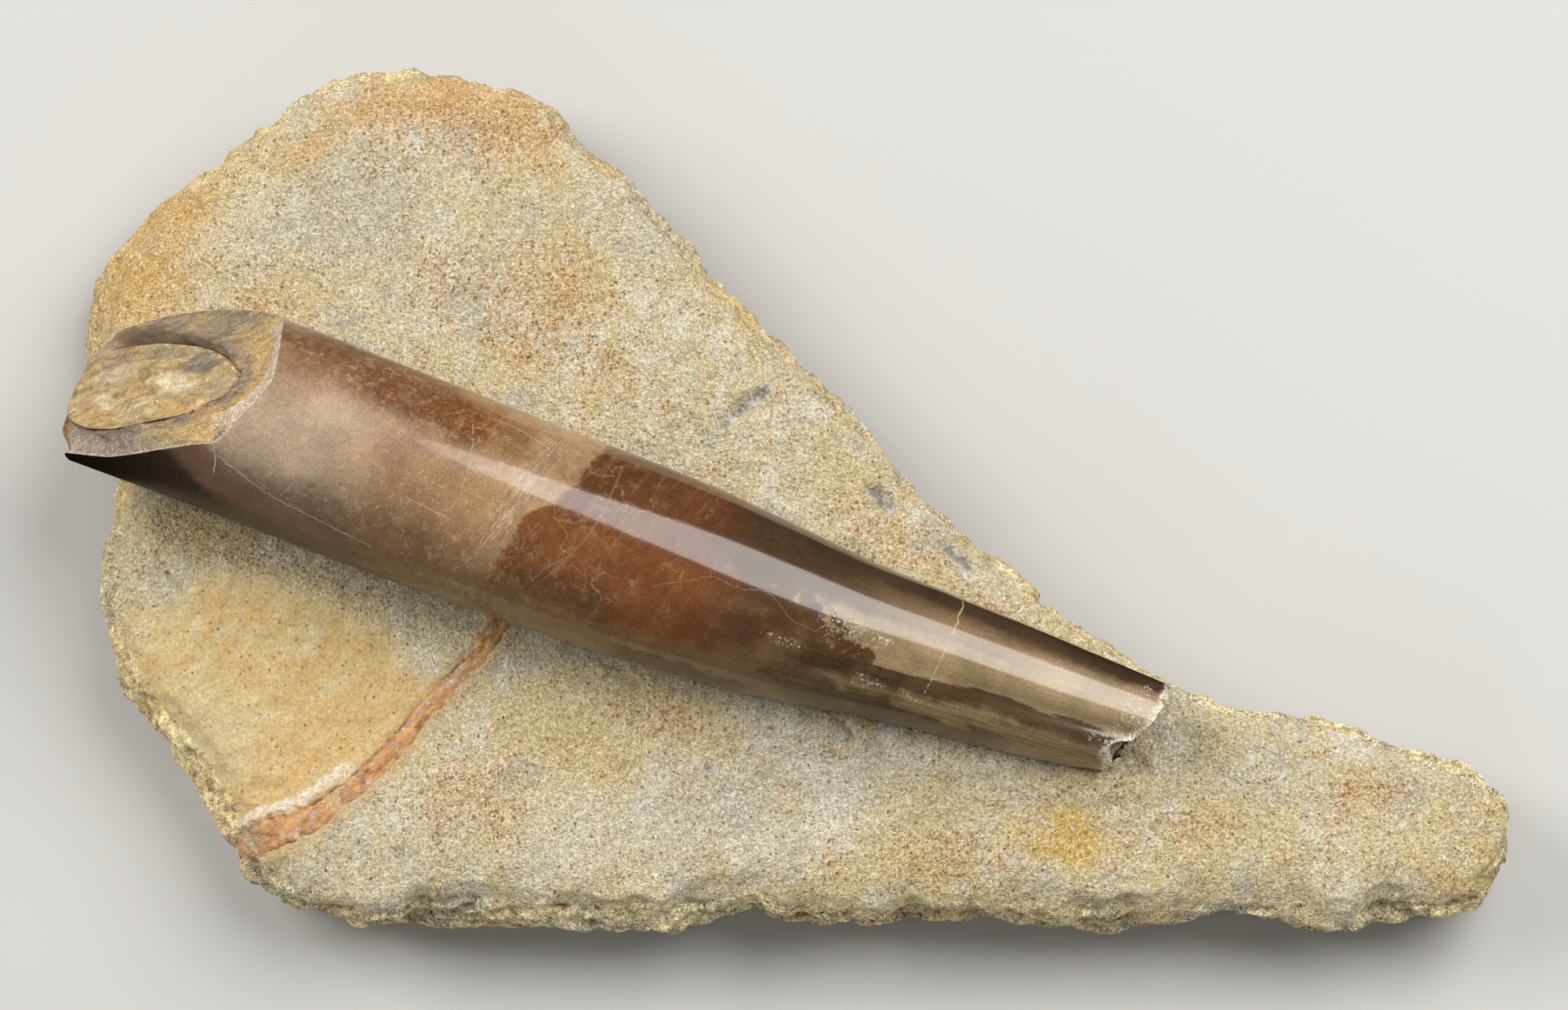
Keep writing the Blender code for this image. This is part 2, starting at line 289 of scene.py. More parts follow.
# A measure that a piece's points carry.
def carried(name):
    node = newNode("Attribute")
    node.attribute_name = name
    return node.outputs["Vector"]


def bumped(shader, height, strength, distance):
    node = newNode("Bump")
    feedAll(node, {"Strength": strength, "Distance": distance, "Height": height})
    feed(shader.inputs["Normal"], node.outputs[0])


# A smooth line through these (value, result) points; both run from low to high.
def lineOf(value, points, low, high):
    node = newNode("FloatCurve")
    start, end = points[0][0], points[-1][0]
    curve = node.mapping.curves[0]
    scaled = [((a - start) / (end - start), (b - low) / (high - low)) for a, b in points]
    curve.points[0].location, curve.points[1].location = scaled[0], scaled[-1]
    for spot in scaled[1:-1]:
        curve.points.new(*spot)
    node.mapping.update()
    feed(node.inputs["Value"], ramp(value, start, end, soft=False))
    return ramp(node.outputs[0], 0, 1, low, high, soft=False)


# 1 on a thin line that runs through these (run, across) points, where the masks say.
def crack(run, across, points, width, *masks):
    sides = [spot[1] for spot in points]
    gap = calc("ABSOLUTE", minus(across, lineOf(run, points, min(sides) - 0.5, max(sides) + 0.5)))
    start, end = points[0][0], points[-1][0]
    ends = times(ramp(run, start - 0.3, start + 0.6), ramp(run, end + 0.3, end - 0.6))
    return times(ramp(gap, width * 0.62, width * 0.15), ends, *masks)


# Mesh helpers


# 0 up to 0, 1 from 1 on, a smooth rise between.
def ease(value):
    value = min(1, max(0, value))
    return value * value * (3 - 2 * value)


# A noise between -1 and 1 at this place.
def wave(x, y, z):
    return noise.noise(Vector((x, y, z)))


# The same direction in degrees, between -180 and 180.
def wrapped(degrees):
    return (degrees + 180) % 360 - 180


# A value read off straight lines between rows of two numbers.
def readOff(value, rows):
    return np.interp(value, *zip(*rows))


# Bumps of each size and height, laid over each other.
def roughness(place, layers, total=0):
    for size, height in layers:
        total += height * noise.noise(place / size)
    return total


def smoothed(shape, verts, rounds):
    for _ in range(rounds):
        bmesh.ops.smooth_vert(shape, verts=verts, factor=0.5, use_axis_x=True, use_axis_y=True,
                              use_axis_z=True)
    shape.normal_update()


def moveAll(shape, places):
    for vertex, place in zip(shape.verts, places):
        vertex.co = place


# A bmesh of a frame node with its loose triangles joined.
def nodeCopy(name):
    shape = bmesh.new()
    shape.from_mesh(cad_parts[name].data)
    bmesh.ops.remove_doubles(shape, verts=shape.verts, dist=1e-6)
    return shape


def makePiece(name, shape, material, sharp=None):
    mesh = bpy.data.meshes.new(name)
    shape.to_mesh(mesh)
    shape.free()
    piece = bpy.data.objects.new(name, mesh)
    bpy.context.scene.collection.objects.link(piece)
    if material:
        mesh.materials.append(material)
    mesh.shade_smooth()
    if sharp:
        mesh.set_sharp_from_angle(angle=math.radians(sharp))
    return piece


# The closed shape rebuilt as even squares of this size.
def remeshed(shape, size):
    piece = makePiece("remeshing", shape, None)
    modifier = piece.modifiers.new("squares", "REMESH")
    modifier.mode, modifier.voxel_size = "VOXEL", size
    graph = bpy.context.evaluated_depsgraph_get()
    fine = bmesh.new()
    fine.from_mesh(piece.evaluated_get(graph).to_mesh())
    mesh = piece.data
    bpy.data.objects.remove(piece)
    bpy.data.meshes.remove(mesh)
    return fine


# The guard's own frame, in millimetres: x along it towards the tip, y towards the back, z up

guardFrame = {"origin": (-0.1181, 0.0195, 0.035), "dip": 2.3, "heading": -19.05}
guardTurn = Euler((0, math.radians(guardFrame["dip"]), math.radians(guardFrame["heading"])))
intoWorld = Matrix.LocRotScale(Vector(guardFrame["origin"]), guardTurn, Vector((mm, mm, mm)))
intoGuard = intoWorld.inverted()

guard = {
    "flatness": 0.96,
    # distance along, half width, shift of the middle
    "stations": ((-10, 16.6, 0.3), (33, 17, -0.1), (59, 16.9, -1), (85, 16.5, -1.6), (98, 16.2, -1.7),
                 (110, 15.6, -1.8), (123, 14.4, -2), (136, 12.8, -1.9), (149, 11.6, -1.4), (162, 10.7, -1.2),
                 (175, 9.5, -0.9), (187, 8, -0.2), (200, 6.6, 0.3)),
    "furrow": {"start": 128, "depth": 1.1, "angle": -22, "spread": 11},
    # angle from the crest towards the back, and how far the polished rim runs past the break there
    "rimSteps": ((-180, 0), (-90, 0), (-79, -0.5), (-72, 0.6), (-66, 1.7), (-54, 1.4), (-42, 1.6), (-36, 2.3),
                 (-30, 3.7), (-24, 2.4), (-18, 1.1), (-6, -0.8), (6, -2), (12, -2.3), (18, -3.2), (30, -4.6),
                 (40, -5), (48, -4.7), (54, -4.2), (60, -3.4), (72, -1.4), (90, -0.5), (120, 0), (180, 0)),
    # the slanting break: where it starts, how it leans and rises, how it is rounded into the lower end
    "breakFace": {"start": 11.5, "lean": 0.578, "rise": 0.774, "round": 0.5, "reach": 1.2},
    # how far along the lower end of the break lies, from front to back
    "endPlan": ((-26, 7.5), (-16.7, 6.4), (-11, 2.8), (-7, 2), (1, 1.4), (6, 2.6), (9.5, 4.2), (12.5, 7),
                (16, 10), (26, 12)),
    # how far along the tip is broken, from front to back
    "tipPlan": ((-16, 183.5), (-8.5, 182.8), (-6.8, 180.9), (-5.2, 181.8), (-3.8, 184.4), (-1.5, 185.8),
                (1, 186.8), (4, 187.2), (7, 188), (14, 190)),
    # about where it ends, and how far the middle of the broken tip is sunk
    "tipStart": 186, "tipSink": 1.2, "tipHollow": 0.8,
    # bump size and height
    "breakRelief": ((6, 0.8), (2.4, 0.55), (0.9, 0.25)), "tipRelief": ((2.2, 0.45), (0.9, 0.25)),
    # how far the wall stands up behind the fill, and drops into the cleft beside it
    "wallRise": 2, "seam": 0.2, "cleft": 1.3,
    "sides": 220, "skinRows": 330, "faceRows": 40, "wallRows": 16, "tipRows": 18,
}

fill = {
    # outline on the break: angle from the crest towards the back, distance from its middle (y, z)
    "middle": (-1.5, 0),
    "outline": ((-180, 9.5), (-151, 8.2), (-120, 8.8), (-99, 9), (-84, 9.3), (-66, 9.5), (-51, 8.8),
                (-39, 8.8), (-21, 9.6), (-4, 9.8), (8, 10.6), (22, 10.3), (45, 9.7), (66, 9.5), (91, 9.6),
                (110, 10.25), (133, 11.2), (150, 12.2), (166, 10.9), (180, 9.5)),
    "apex": (60, 0, 0.6), "gap": 0.06, "proud": 0.5, "relief": ((5, 1), (2, 0.6), (0.8, 0.3)),
    "sides": 160, "faceRows": 46, "wallRows": 12,
}


# Smooth values by distance, every half millimetre, from rows that start with the distance.
def curveTable(stations):
    rows = np.array(stations, float)
    slopes = np.gradient(rows[:, 1:], rows[:, 0], axis=0)
    spots = np.arange(rows[0, 0], rows[-1, 0] + 0.25, 0.5)
    found = np.clip(np.searchsorted(rows[:, 0], spots, "right") - 1, 0, len(rows) - 2)
    span = (rows[found + 1, 0] - rows[found, 0])[:, None]
    part = (spots - rows[found, 0])[:, None] / span
    start, end = rows[found, 1:], rows[found + 1, 1:]
    first, last = slopes[found] * span, slopes[found + 1] * span
    values = start * (1 + 2 * part) * (1 - part) ** 2 + first * part * (1 - part) ** 2
    values += end * part ** 2 * (3 - 2 * part) - last * part ** 2 * (1 - part)
    return spots, values


guardSpots, guardValues = curveTable(guard["stations"])


def guardSize(x):
    return np.interp(x, guardSpots, guardValues[:, 0]), np.interp(x, guardSpots, guardValues[:, 1])


# Where the fill's outline lies across the guard, at this angle.
def outlinePoint(angle, grow=0):
    reach = readOff(wrapped(math.degrees(angle)), fill["outline"])
    reach += grow + 0.25 * noise.noise(Vector((math.cos(angle), math.sin(angle), 0.5)) * 2.5)
    y, z = fill["middle"]
    return y + reach * math.sin(angle), z + reach * math.cos(angle)


# A point of the polished surface; angle is from the crest towards the back.
def skinPoint(x, angle):
    radius, shift = guardSize(x)
    furrow = guard["furrow"]
    depth = furrow["depth"] * ease((x - furrow["start"]) / 45)
    away = wrapped(math.degrees(angle) - furrow["angle"])
    radius = radius - depth * math.exp(-((away / furrow["spread"]) ** 2))
    return Vector((x, shift + radius * math.sin(angle), guard["flatness"] * radius * math.cos(angle)))


# How far along the broken wide end lies at this height and width.
def breakX(y, z):
    face = guard["breakFace"]
    slope = (z + face["start"] + face["lean"] * y) / face["rise"]
    bottom = readOff(y, guard["endPlan"])
    return max(slope, bottom) + face["round"] * math.exp(-abs(slope - bottom) / face["reach"])


# Roughness of the broken calcite, with fine ridges that run out from the fill.
def breakRelief(y, z):
    place = Vector((y, z, 3))
    turn = math.atan2(y - fill["middle"][0], z)
    ridges = wave(turn * 22, math.hypot(y, z) * 0.22, 8)
    ledges = 0.6 * ease(noise.noise(Vector((y * 0.8 + z, y - z, 2)) / 4) / 0.06)
    return roughness(place, guard["breakRelief"]) + 0.16 * ridges + ledges


# Where the polished surface ends at this angle, this far past the break, found by walking to it.
def rimX(angle, step):
    x = 15
    for _ in range(14):
        point = skinPoint(x, angle)
        x = 0.4 * x + 0.6 * (breakX(point.y, point.z) + step)
    return x


def tipX(y, z):
    return readOff(y, guard["tipPlan"]) + z * 0.09


# A grid wrapped into a closed skin: pointAt(row, side, angle) gives each point, in guard millimetres.
# Each measure is kept on the points under its name, as three numbers for the materials.
def wrapGrid(rows, sides, pointAt, measures=()):
    shape = bmesh.new()
    bmesh.ops.create_grid(shape, x_segments=rows, y_segments=sides, size=1)
    layers = [(shape.verts.layers.float_vector.new(name), measure) for name, measure in measures]
    for vertex in shape.verts:
        row = round((vertex.co.x + 1) / 2 * rows)
        side = round((vertex.co.y + 1) / 2 * sides) % sides
        angle = math.tau * side / sides
        vertex.co = pointAt(row, side, angle)
        for layer, measure in layers:
            vertex[layer] = measure(row, side, vertex.co)
    bmesh.ops.remove_doubles(shape, verts=shape.verts, dist=1e-5)
    bmesh.ops.recalc_face_normals(shape, faces=shape.faces)
    if shape.calc_volume(signed=True) < 0:
        bmesh.ops.reverse_faces(shape, faces=shape.faces)
    bmesh.ops.transform(shape, matrix=intoWorld, verts=shape.verts)
    return shape


def buildGuard(material):
    sides = guard["sides"]
    wallEnd = guard["wallRows"]
    faceEnd = wallEnd + guard["faceRows"]
    skinEnd = faceEnd + guard["skinRows"]
    rows = skinEnd + guard["tipRows"]
    apex = Vector(fill["apex"])
    columns = []
    for side in range(sides):
        angle = math.tau * side / sides
        signed = wrapped(math.degrees(angle))
        rim = rimX(angle, readOff(signed, guard["rimSteps"]))
        rim += 0.25 * noise.noise(Vector((math.cos(angle), math.sin(angle), 2)) * 9)
        # the fill and the wall run into each other at the lower end
        y, z = outlinePoint(angle, fill["gap"] - 0.35 * ease((abs(signed) - 138) / 16))
        hole = Vector((breakX(y, z), y, z))
        tip = guard["tipStart"]
        for _ in range(8):
            point = skinPoint(tip, angle)
            tip = tipX(point.y, point.z)
        ripple = Vector((math.cos(angle), math.sin(angle), 1))
        tip += 0.4 * noise.noise(ripple * 3) + 0.3 * noise.noise(ripple * 9)
        columns.append((rim, tip, skinPoint(rim, angle), hole, skinPoint(tip, angle), signed))
    tipCentre = Vector((tipX(-0.5, 0) - guard["tipSink"], -0.4, 0))

    def pointAt(row, side, angle):
        rim, tip, rimPoint, hole, tipPoint, signed = columns[side]
        if row < wallEnd:
            part = row / wallEnd
            return apex.lerp(hole, part)
        if row < faceEnd:
            part = (row - wallEnd) / guard["faceRows"]
            flat = hole.lerp(rimPoint, part)
            fromHole = part * (rimPoint - hole).length
            x = breakX(flat.y, flat.z) + breakRelief(flat.y, flat.z) * ease((1 - part) * 6)
            behind = ease((signed - 35) / 30) * ease((175 - signed) / 30)
            x -= behind * guard["wallRise"] * math.exp(-(((fromHole - 2.4) / 1.8) ** 2))
            beside = ease((signed - 78) / 20) * ease((148 - signed) / 14)
            x += (guard["seam"] + guard["cleft"] * beside) * math.exp(-fromHole / 0.5)
            tail = ease((part - 0.12) / 0.88)
            return Vector((x * (1 - tail) + flat.x * tail, flat.y, flat.z))
        if row <= skinEnd:
            part = (row - faceEnd) / guard["skinRows"]
            return skinPoint(rim + (tip - rim) * part, angle)
        part = (row - skinEnd) / guard["tipRows"]
        flat = tipPoint.lerp(tipCentre, part)
        bumps = roughness(flat, guard["tipRelief"]) * ease(part * 5)
        flat.x += bumps - guard["tipHollow"] * ease(part * 3) * (1 - part)
        return flat

    # distance along and round the skin, and 1 on the skin, 0 on the breaks
    def unrolled(row, side, point):
        radius, shift = guardSize(point.x)
        around = radius * math.atan2(point.y - shift, point.z / guard["flatness"])
        return point.x, around, 1 if faceEnd <= row <= skinEnd else 0

    # distance from the rim (on the skin, from the broken tip), distance from the fill, angle in degrees
    def broken(row, side, point):
        tip, rimPoint, hole, signed = columns[side][1], columns[side][2], columns[side][3], columns[side][5]
        width = (rimPoint - hole).length
        part = min(1, max(0, (row - wallEnd) / guard["faceRows"]))
        if row > skinEnd:
            return 0.3 * (row - skinEnd), 9, signed
        if row > faceEnd:
            return tip - point.x, 9, signed
        return (1 - part) * width, part * width, signed

    shape = wrapGrid(rows, sides, pointAt, (("unrolled", unrolled), ("broken", broken)))
    return makePiece("polished_guard", shape, material, sharp=38)


def buildFill(material):
    faceEnd = fill["faceRows"]
    rows = faceEnd + fill["wallRows"]
    apex = Vector(fill["apex"]) - Vector((1.5, 0, 0))
    middle = Vector(fill["middle"])

    def pointAt(row, side, angle):
        rim = Vector(outlinePoint(angle))
        if row > faceEnd:
            edge = Vector((breakX(*rim), rim.x, rim.y))
            return edge.lerp(apex, (row - faceEnd) / fill["wallRows"])
        part = math.sin(0.5 * math.pi * row / faceEnd)
        y, z = middle.lerp(rim, part)
        lumps = roughness(Vector((y, z, 5)), fill["relief"])
        steps = 0.45 * ease(noise.noise(Vector((y - z * 0.6, z * 0.4, 1)) / 3) / 0.08)
        steps += 0.5 * ease(noise.noise(Vector((z - y * 0.3, y * 0.5, 6)) / 4) / 0.06)
        dome = fill["proud"] * (1 + ease((1 - part) * 1.6)) * ease((1 - part) * 16)
        return Vector((breakX(y, z) - dome + (lumps + steps) * ease((1 - part) * 5), y, z))

    # how near the fill's edge, 1 at it, and its place across the guard
    def edgeOf(row, side, point):
        return min(row, faceEnd) / faceEnd, point.y, point.z

    shape = wrapGrid(rows, fill["sides"], pointAt, (("edge", edgeOf),))
    return makePiece("phragmocone_fill", shape, material, sharp=50)


# The slab of stone

slab = {
    "grid": 0.00068, "smoothing": 5, "topSmoothing": 18,
    # bump size and height, in millimetres
    "topRelief": ((14, 0.3), (5, 0.34), (2.2, 0.34), (1.1, 0.22)),
    "sideRelief": ((13, 1), (5, 0.8), (2.2, 0.45), (1.1, 0.22)),
    # heights and depths in millimetres: hard beds, spalls, the hollow under the lip along the front,
    # ripples in front, the lip; the lip starts past this y and above this z
    "beds": 0.7, "spall": 1.1, "hollow": 2.2, "ripple": 0.16, "lip": 3.7, "lipStart": (-54, 7),
    # over the shell band the stone is sunk, with a groove and a flake beside it
    "bandSink": 0.9, "groove": 0.8, "flake": 0.7,
    # stone this near the guard is drawn in, and overlaps it a little
    "hugSpan": (-6, 189), "hugReach": 1.6, "hugOverlap": 0.25,
    # how far the shell band is grown where it is joined in, in metres
    "shellGrow": 0.0006,
    # stone that stands under the broken tip: middle and size, in the guard's millimetres
    "tipFooting": ((187.4, 0.3, -6.2), (8, 17, 7.2)),
    # dents and humps in the surface: middle, half size, turn, depth (below 0 it is a hump)
    "dents": (
        ((-7.7, 13.1), (5.6, 1.3), 42, 0.9), ((15.6, -2.6), (3.2, 1.6), -42, 0.8),
        ((27.3, -11.8), (5, 1), -44, 0.35), ((-101.4, -15.3), (4.2, 0.7), -53, 1),
        ((-84, -52), (5, 2), -25, 0.6), ((9.9, -41.8), (2.6, 0.6), -45, 0.5),
        ((-13.6, -47.4), (1.4, 0.8), 0, 0.4), ((-39.3, -25.2), (4, 2), -40, -0.5),
        ((-75, -53), (5, 1.1), 35, -0.5), ((55.6, -46.8), (3, 1.8), -10, 0.9), ((62, -44), (4, 3), 0, 0.3),
        ((97.6, -66.5), (4, 2.5), 0, 0.8), ((-44, -64.5), (6, 3), 10, 0.7),
        ((-68, -62.5), (5, 2.5), -15, 0.5),
    ),
}

shell = {
    "grid": 0.0004, "smoothing": 3,
    # how far it stands out, bump size and height, in millimetres
    "proud": 0.32, "relief": ((3, 0.45), (1.4, 0.4), (0.6, 0.25)),
    # middle line (x, y) and width where it meets the surface
    "line": ((-46.2, -21, 1.7), (-47.2, -25.6, 2), (-52.6, -31.1, 2.8), (-58.8, -37.1, 2.7),
             (-63.1, -42.8, 3), (-69.4, -49.3, 3.2), (-77.8, -55.7, 3.6), (-86, -58.7, 4.6),
             (-95.6, -62.8, 4.6)),
}


# Distance from the shell band's middle line, which side of it, half width there.
def fromShell(x, y):
    best = (1e9, 0, 1)
    for (ax, ay, aw), (bx, by, bw) in zip(shell["line"], shell["line"][1:]):
        along = Vector((bx - ax, by - ay))
        to = Vector((x - ax, y - ay))
        part = min(1, max(0, to.dot(along) / along.length_squared))
        gap = (to - along * part).length
        if gap < best[0]:
            best = (gap, along.cross(to), (aw + (bw - aw) * part) / 2)
    return best


def buildSlab(material):
    shape = nodeCopy("matrix_slab")
    # the underside is carried down a little, so that its edge stays crisp when it is cut off again
    under = [face for face in shape.faces if face.normal.z < -0.99 and face.calc_center_median().z < 0.0001]
    lowered = bmesh.ops.extrude_face_region(shape, geom=under)
    moving = [item for item in lowered["geom"] if isinstance(item, bmesh.types.BMVert)]
    bmesh.ops.delete(shape, geom=under, context="FACES_ONLY")
    bmesh.ops.translate(shape, vec=(0, 0, -0.003), verts=moving)
    footing, size = slab["tipFooting"]
    bmesh.ops.create_cube(shape, size=1,
                          matrix=intoWorld @ Matrix.LocRotScale(Vector(footing), None, Vector(size)))
    # the shell band is joined in, so that the stone runs on behind it
    plug = nodeCopy("shell_band")
    plug.normal_update()
    for vertex, normal in [(vertex, vertex.normal.copy()) for vertex in plug.verts]:
        vertex.co += normal * slab["shellGrow"]
    holder = bpy.data.meshes.new("plug")
    plug.to_mesh(holder)
    plug.free()
    shape.from_mesh(holder)
    bpy.data.meshes.remove(holder)
    fine = remeshed(shape, slab["grid"])
    print("slab remeshed:", len(fine.faces), "faces")
    smoothed(fine, fine.verts, slab["smoothing"])
    smoothed(fine, [vertex for vertex in fine.verts if vertex.normal.z > 0.9], slab["topSmoothing"])
    weatherSlab(fine)
    everything = list(fine.verts) + list(fine.edges) + list(fine.faces)
    cutting = bmesh.ops.bisect_plane(fine, geom=everything, dist=1e-6, plane_co=(0, 0, 0),
                                     plane_no=(0, 0, -1), use_snap_center=True, clear_outer=True)
    rim = [item for item in cutting["geom_cut"] if isinstance(item, bmesh.types.BMEdge)]
    base = bmesh.ops.contextual_create(fine, geom=rim)
    print("slab base faces:", len(base["faces"]))
    bmesh.ops.recalc_face_normals(fine, faces=fine.faces)
    return makePiece("stone_slab", fine, material, sharp=70)


# How far the broken sides stand in or out there: beds of unlike hardness, spalls and grit.
def sidePush(spot):
    push = roughness(spot, slab["sideRelief"])
    beds = wave(spot.x / 26, spot.y / 26, spot.z / 2.4 + 3 * noise.noise(spot / 17))
    push += slab["beds"] * ease(0.5 + beds / 0.16) - slab["beds"] / 2
    # spalls leave hollows with crisp edges
    spall = wave(spot.x / 8, spot.y / 8, spot.z / 5 + 9)
    push -= slab["spall"] * ease((spall - 0.12) / 0.1)
    if spot.y < -40:
        # a lip over a hollow along the front, and a foot below it
        along = 0.5 + 0.5 * wave(spot.x / 15, 4, 2) / 0.5
        low = spot.z - 6 - 2.5 * wave(spot.x / 11, 1, 7)
        push -= slab["hollow"] * ease(along) * ease(1 - abs(low) / 3.2)
    return push


def dented(spot):
    depth = 0
    for (x, y), (wide, deep), turn, amount in slab["dents"]:
        along = Vector((spot.x - x, spot.y - y))
        if abs(along.x) + abs(along.y) > 14:
            continue
        along.rotate(Matrix.Rotation(-math.radians(turn), 2))
        reach = math.hypot(along.x / wide, along.y / deep) + 0.35 * noise.noise(spot / 1.2)
        depth += amount * ease((1.25 - reach) / 0.6)
    return depth


def weatherSlab(fine):
    places = []
    # distance from the shell band's edge (positive on its left), how far the surface was pushed out,
    # how level it is
    worn = fine.verts.layers.float_vector.new("worn")
    for vertex in fine.verts:
        spot = vertex.co * 1000
        normal = vertex.normal
        up = ease((normal.z - 0.45) / 0.4)
        push = 0
        for size, height in slab["topRelief"]:
            push += up * height * noise.noise(spot / size)
        if up > 0:
            push -= up * dented(spot)
            if -70 < spot.y < -36 and -50 < spot.x < 60:
                # low ripples across the front of the slab
                across = spot.x * 0.97 + spot.y * 0.25 + 3 * noise.noise(spot / 16)
                rise = ease(0.5 + noise.noise(spot / 12) / 0.4)
                push += up * slab["ripple"] * math.sin(across * 1.15) * rise
        if up < 1:
            push += (1 - up) * sidePush(spot)
        gap, hand, half = fromShell(spot.x, spot.y)
        if gap < half + 1.5 and spot.z > 12.5:
            ragged = roughness(spot, ((1.7, 0.7), (4, 0.7)))
            push -= slab["bandSink"] * ease((half + ragged - gap) / 0.8)
            if hand < 0:
                push -= slab["groove"] * math.exp(-(((gap - half - 0.4) / 0.6) ** 2))
                # a thin flake of stone still stands along the lower part
                push += slab["flake"] * ease((gap - half - 0.5) / 0.6) * ease((-49.5 - spot.y) / 2)
        beside = max(0, gap - half) + 0.001
        vertex[worn] = (-beside if hand > 0 else beside, push, up)
        place = spot + normal * push
        place.y -= lipReach(spot)
        places.append(hugGuard(place) * mm)
    moveAll(fine, places)


# How far the upper edge of the front stands out over the side.
def lipReach(spot):
    front, low = slab["lipStart"]
    if spot.y > front or spot.z < low:
        return 0
    along = 0.75 + 0.6 * wave(spot.x / 16, 5, 3) + 0.35 * wave(spot.x / 4.5, 1, 9)
    along *= 1 - 0.8 * math.exp(-(((spot.x + 6 - (spot.y + 66) * 0.25) / 3.2) ** 2))
    return slab["lip"] * max(0, along) * ease((front - spot.y) / 11) * ease((spot.z - low) / 12)


# Stone that is near the guard is drawn in until it just meets it.
def hugGuard(place):
    local = intoGuard @ (place * mm)
    start, end = slab["hugSpan"]
    if not start < local.x < end or local.x > tipX(local.y, local.z) - 0.2:
        return place
    radius, shift = guardSize(local.x)
    across, high = local.y - shift, local.z / guard["flatness"]
    reach = math.hypot(across, high)
    gap = reach - radius
    if gap > slab["hugReach"] or reach < 1:
        return place
    wanted = -slab["hugOverlap"] + max(0, gap) * max(0, gap) / slab["hugReach"]
    scale = (radius + wanted) / reach
    local.y, local.z = shift + across * scale, high * scale * guard["flatness"]
    return (intoWorld @ local) * 1000


def buildShell(material):
    fine = remeshed(nodeCopy("shell_band"), shell["grid"])
    smoothed(fine, fine.verts, shell["smoothing"])
    places = []
    for vertex in fine.verts:
        spot = vertex.co * 1000
        place = spot + vertex.normal * roughness(spot, shell["relief"], shell["proud"])
        # its upper end runs on under the guard
        place += Vector((0.9, 5, 0)) * ease((spot.y + 30) / 5)
        places.append(place * mm)
    moveAll(fine, places)
    return makePiece("shell_seam", fine, material, sharp=70)


# Materials


# Where a point lies in the guard's own frame, in millimetres.
def guardPlace():
    turn = (0, guardFrame["dip"], guardFrame["heading"])
    return mapped(objectPlace(), guardFrame["origin"], turn, (mm, mm, mm))


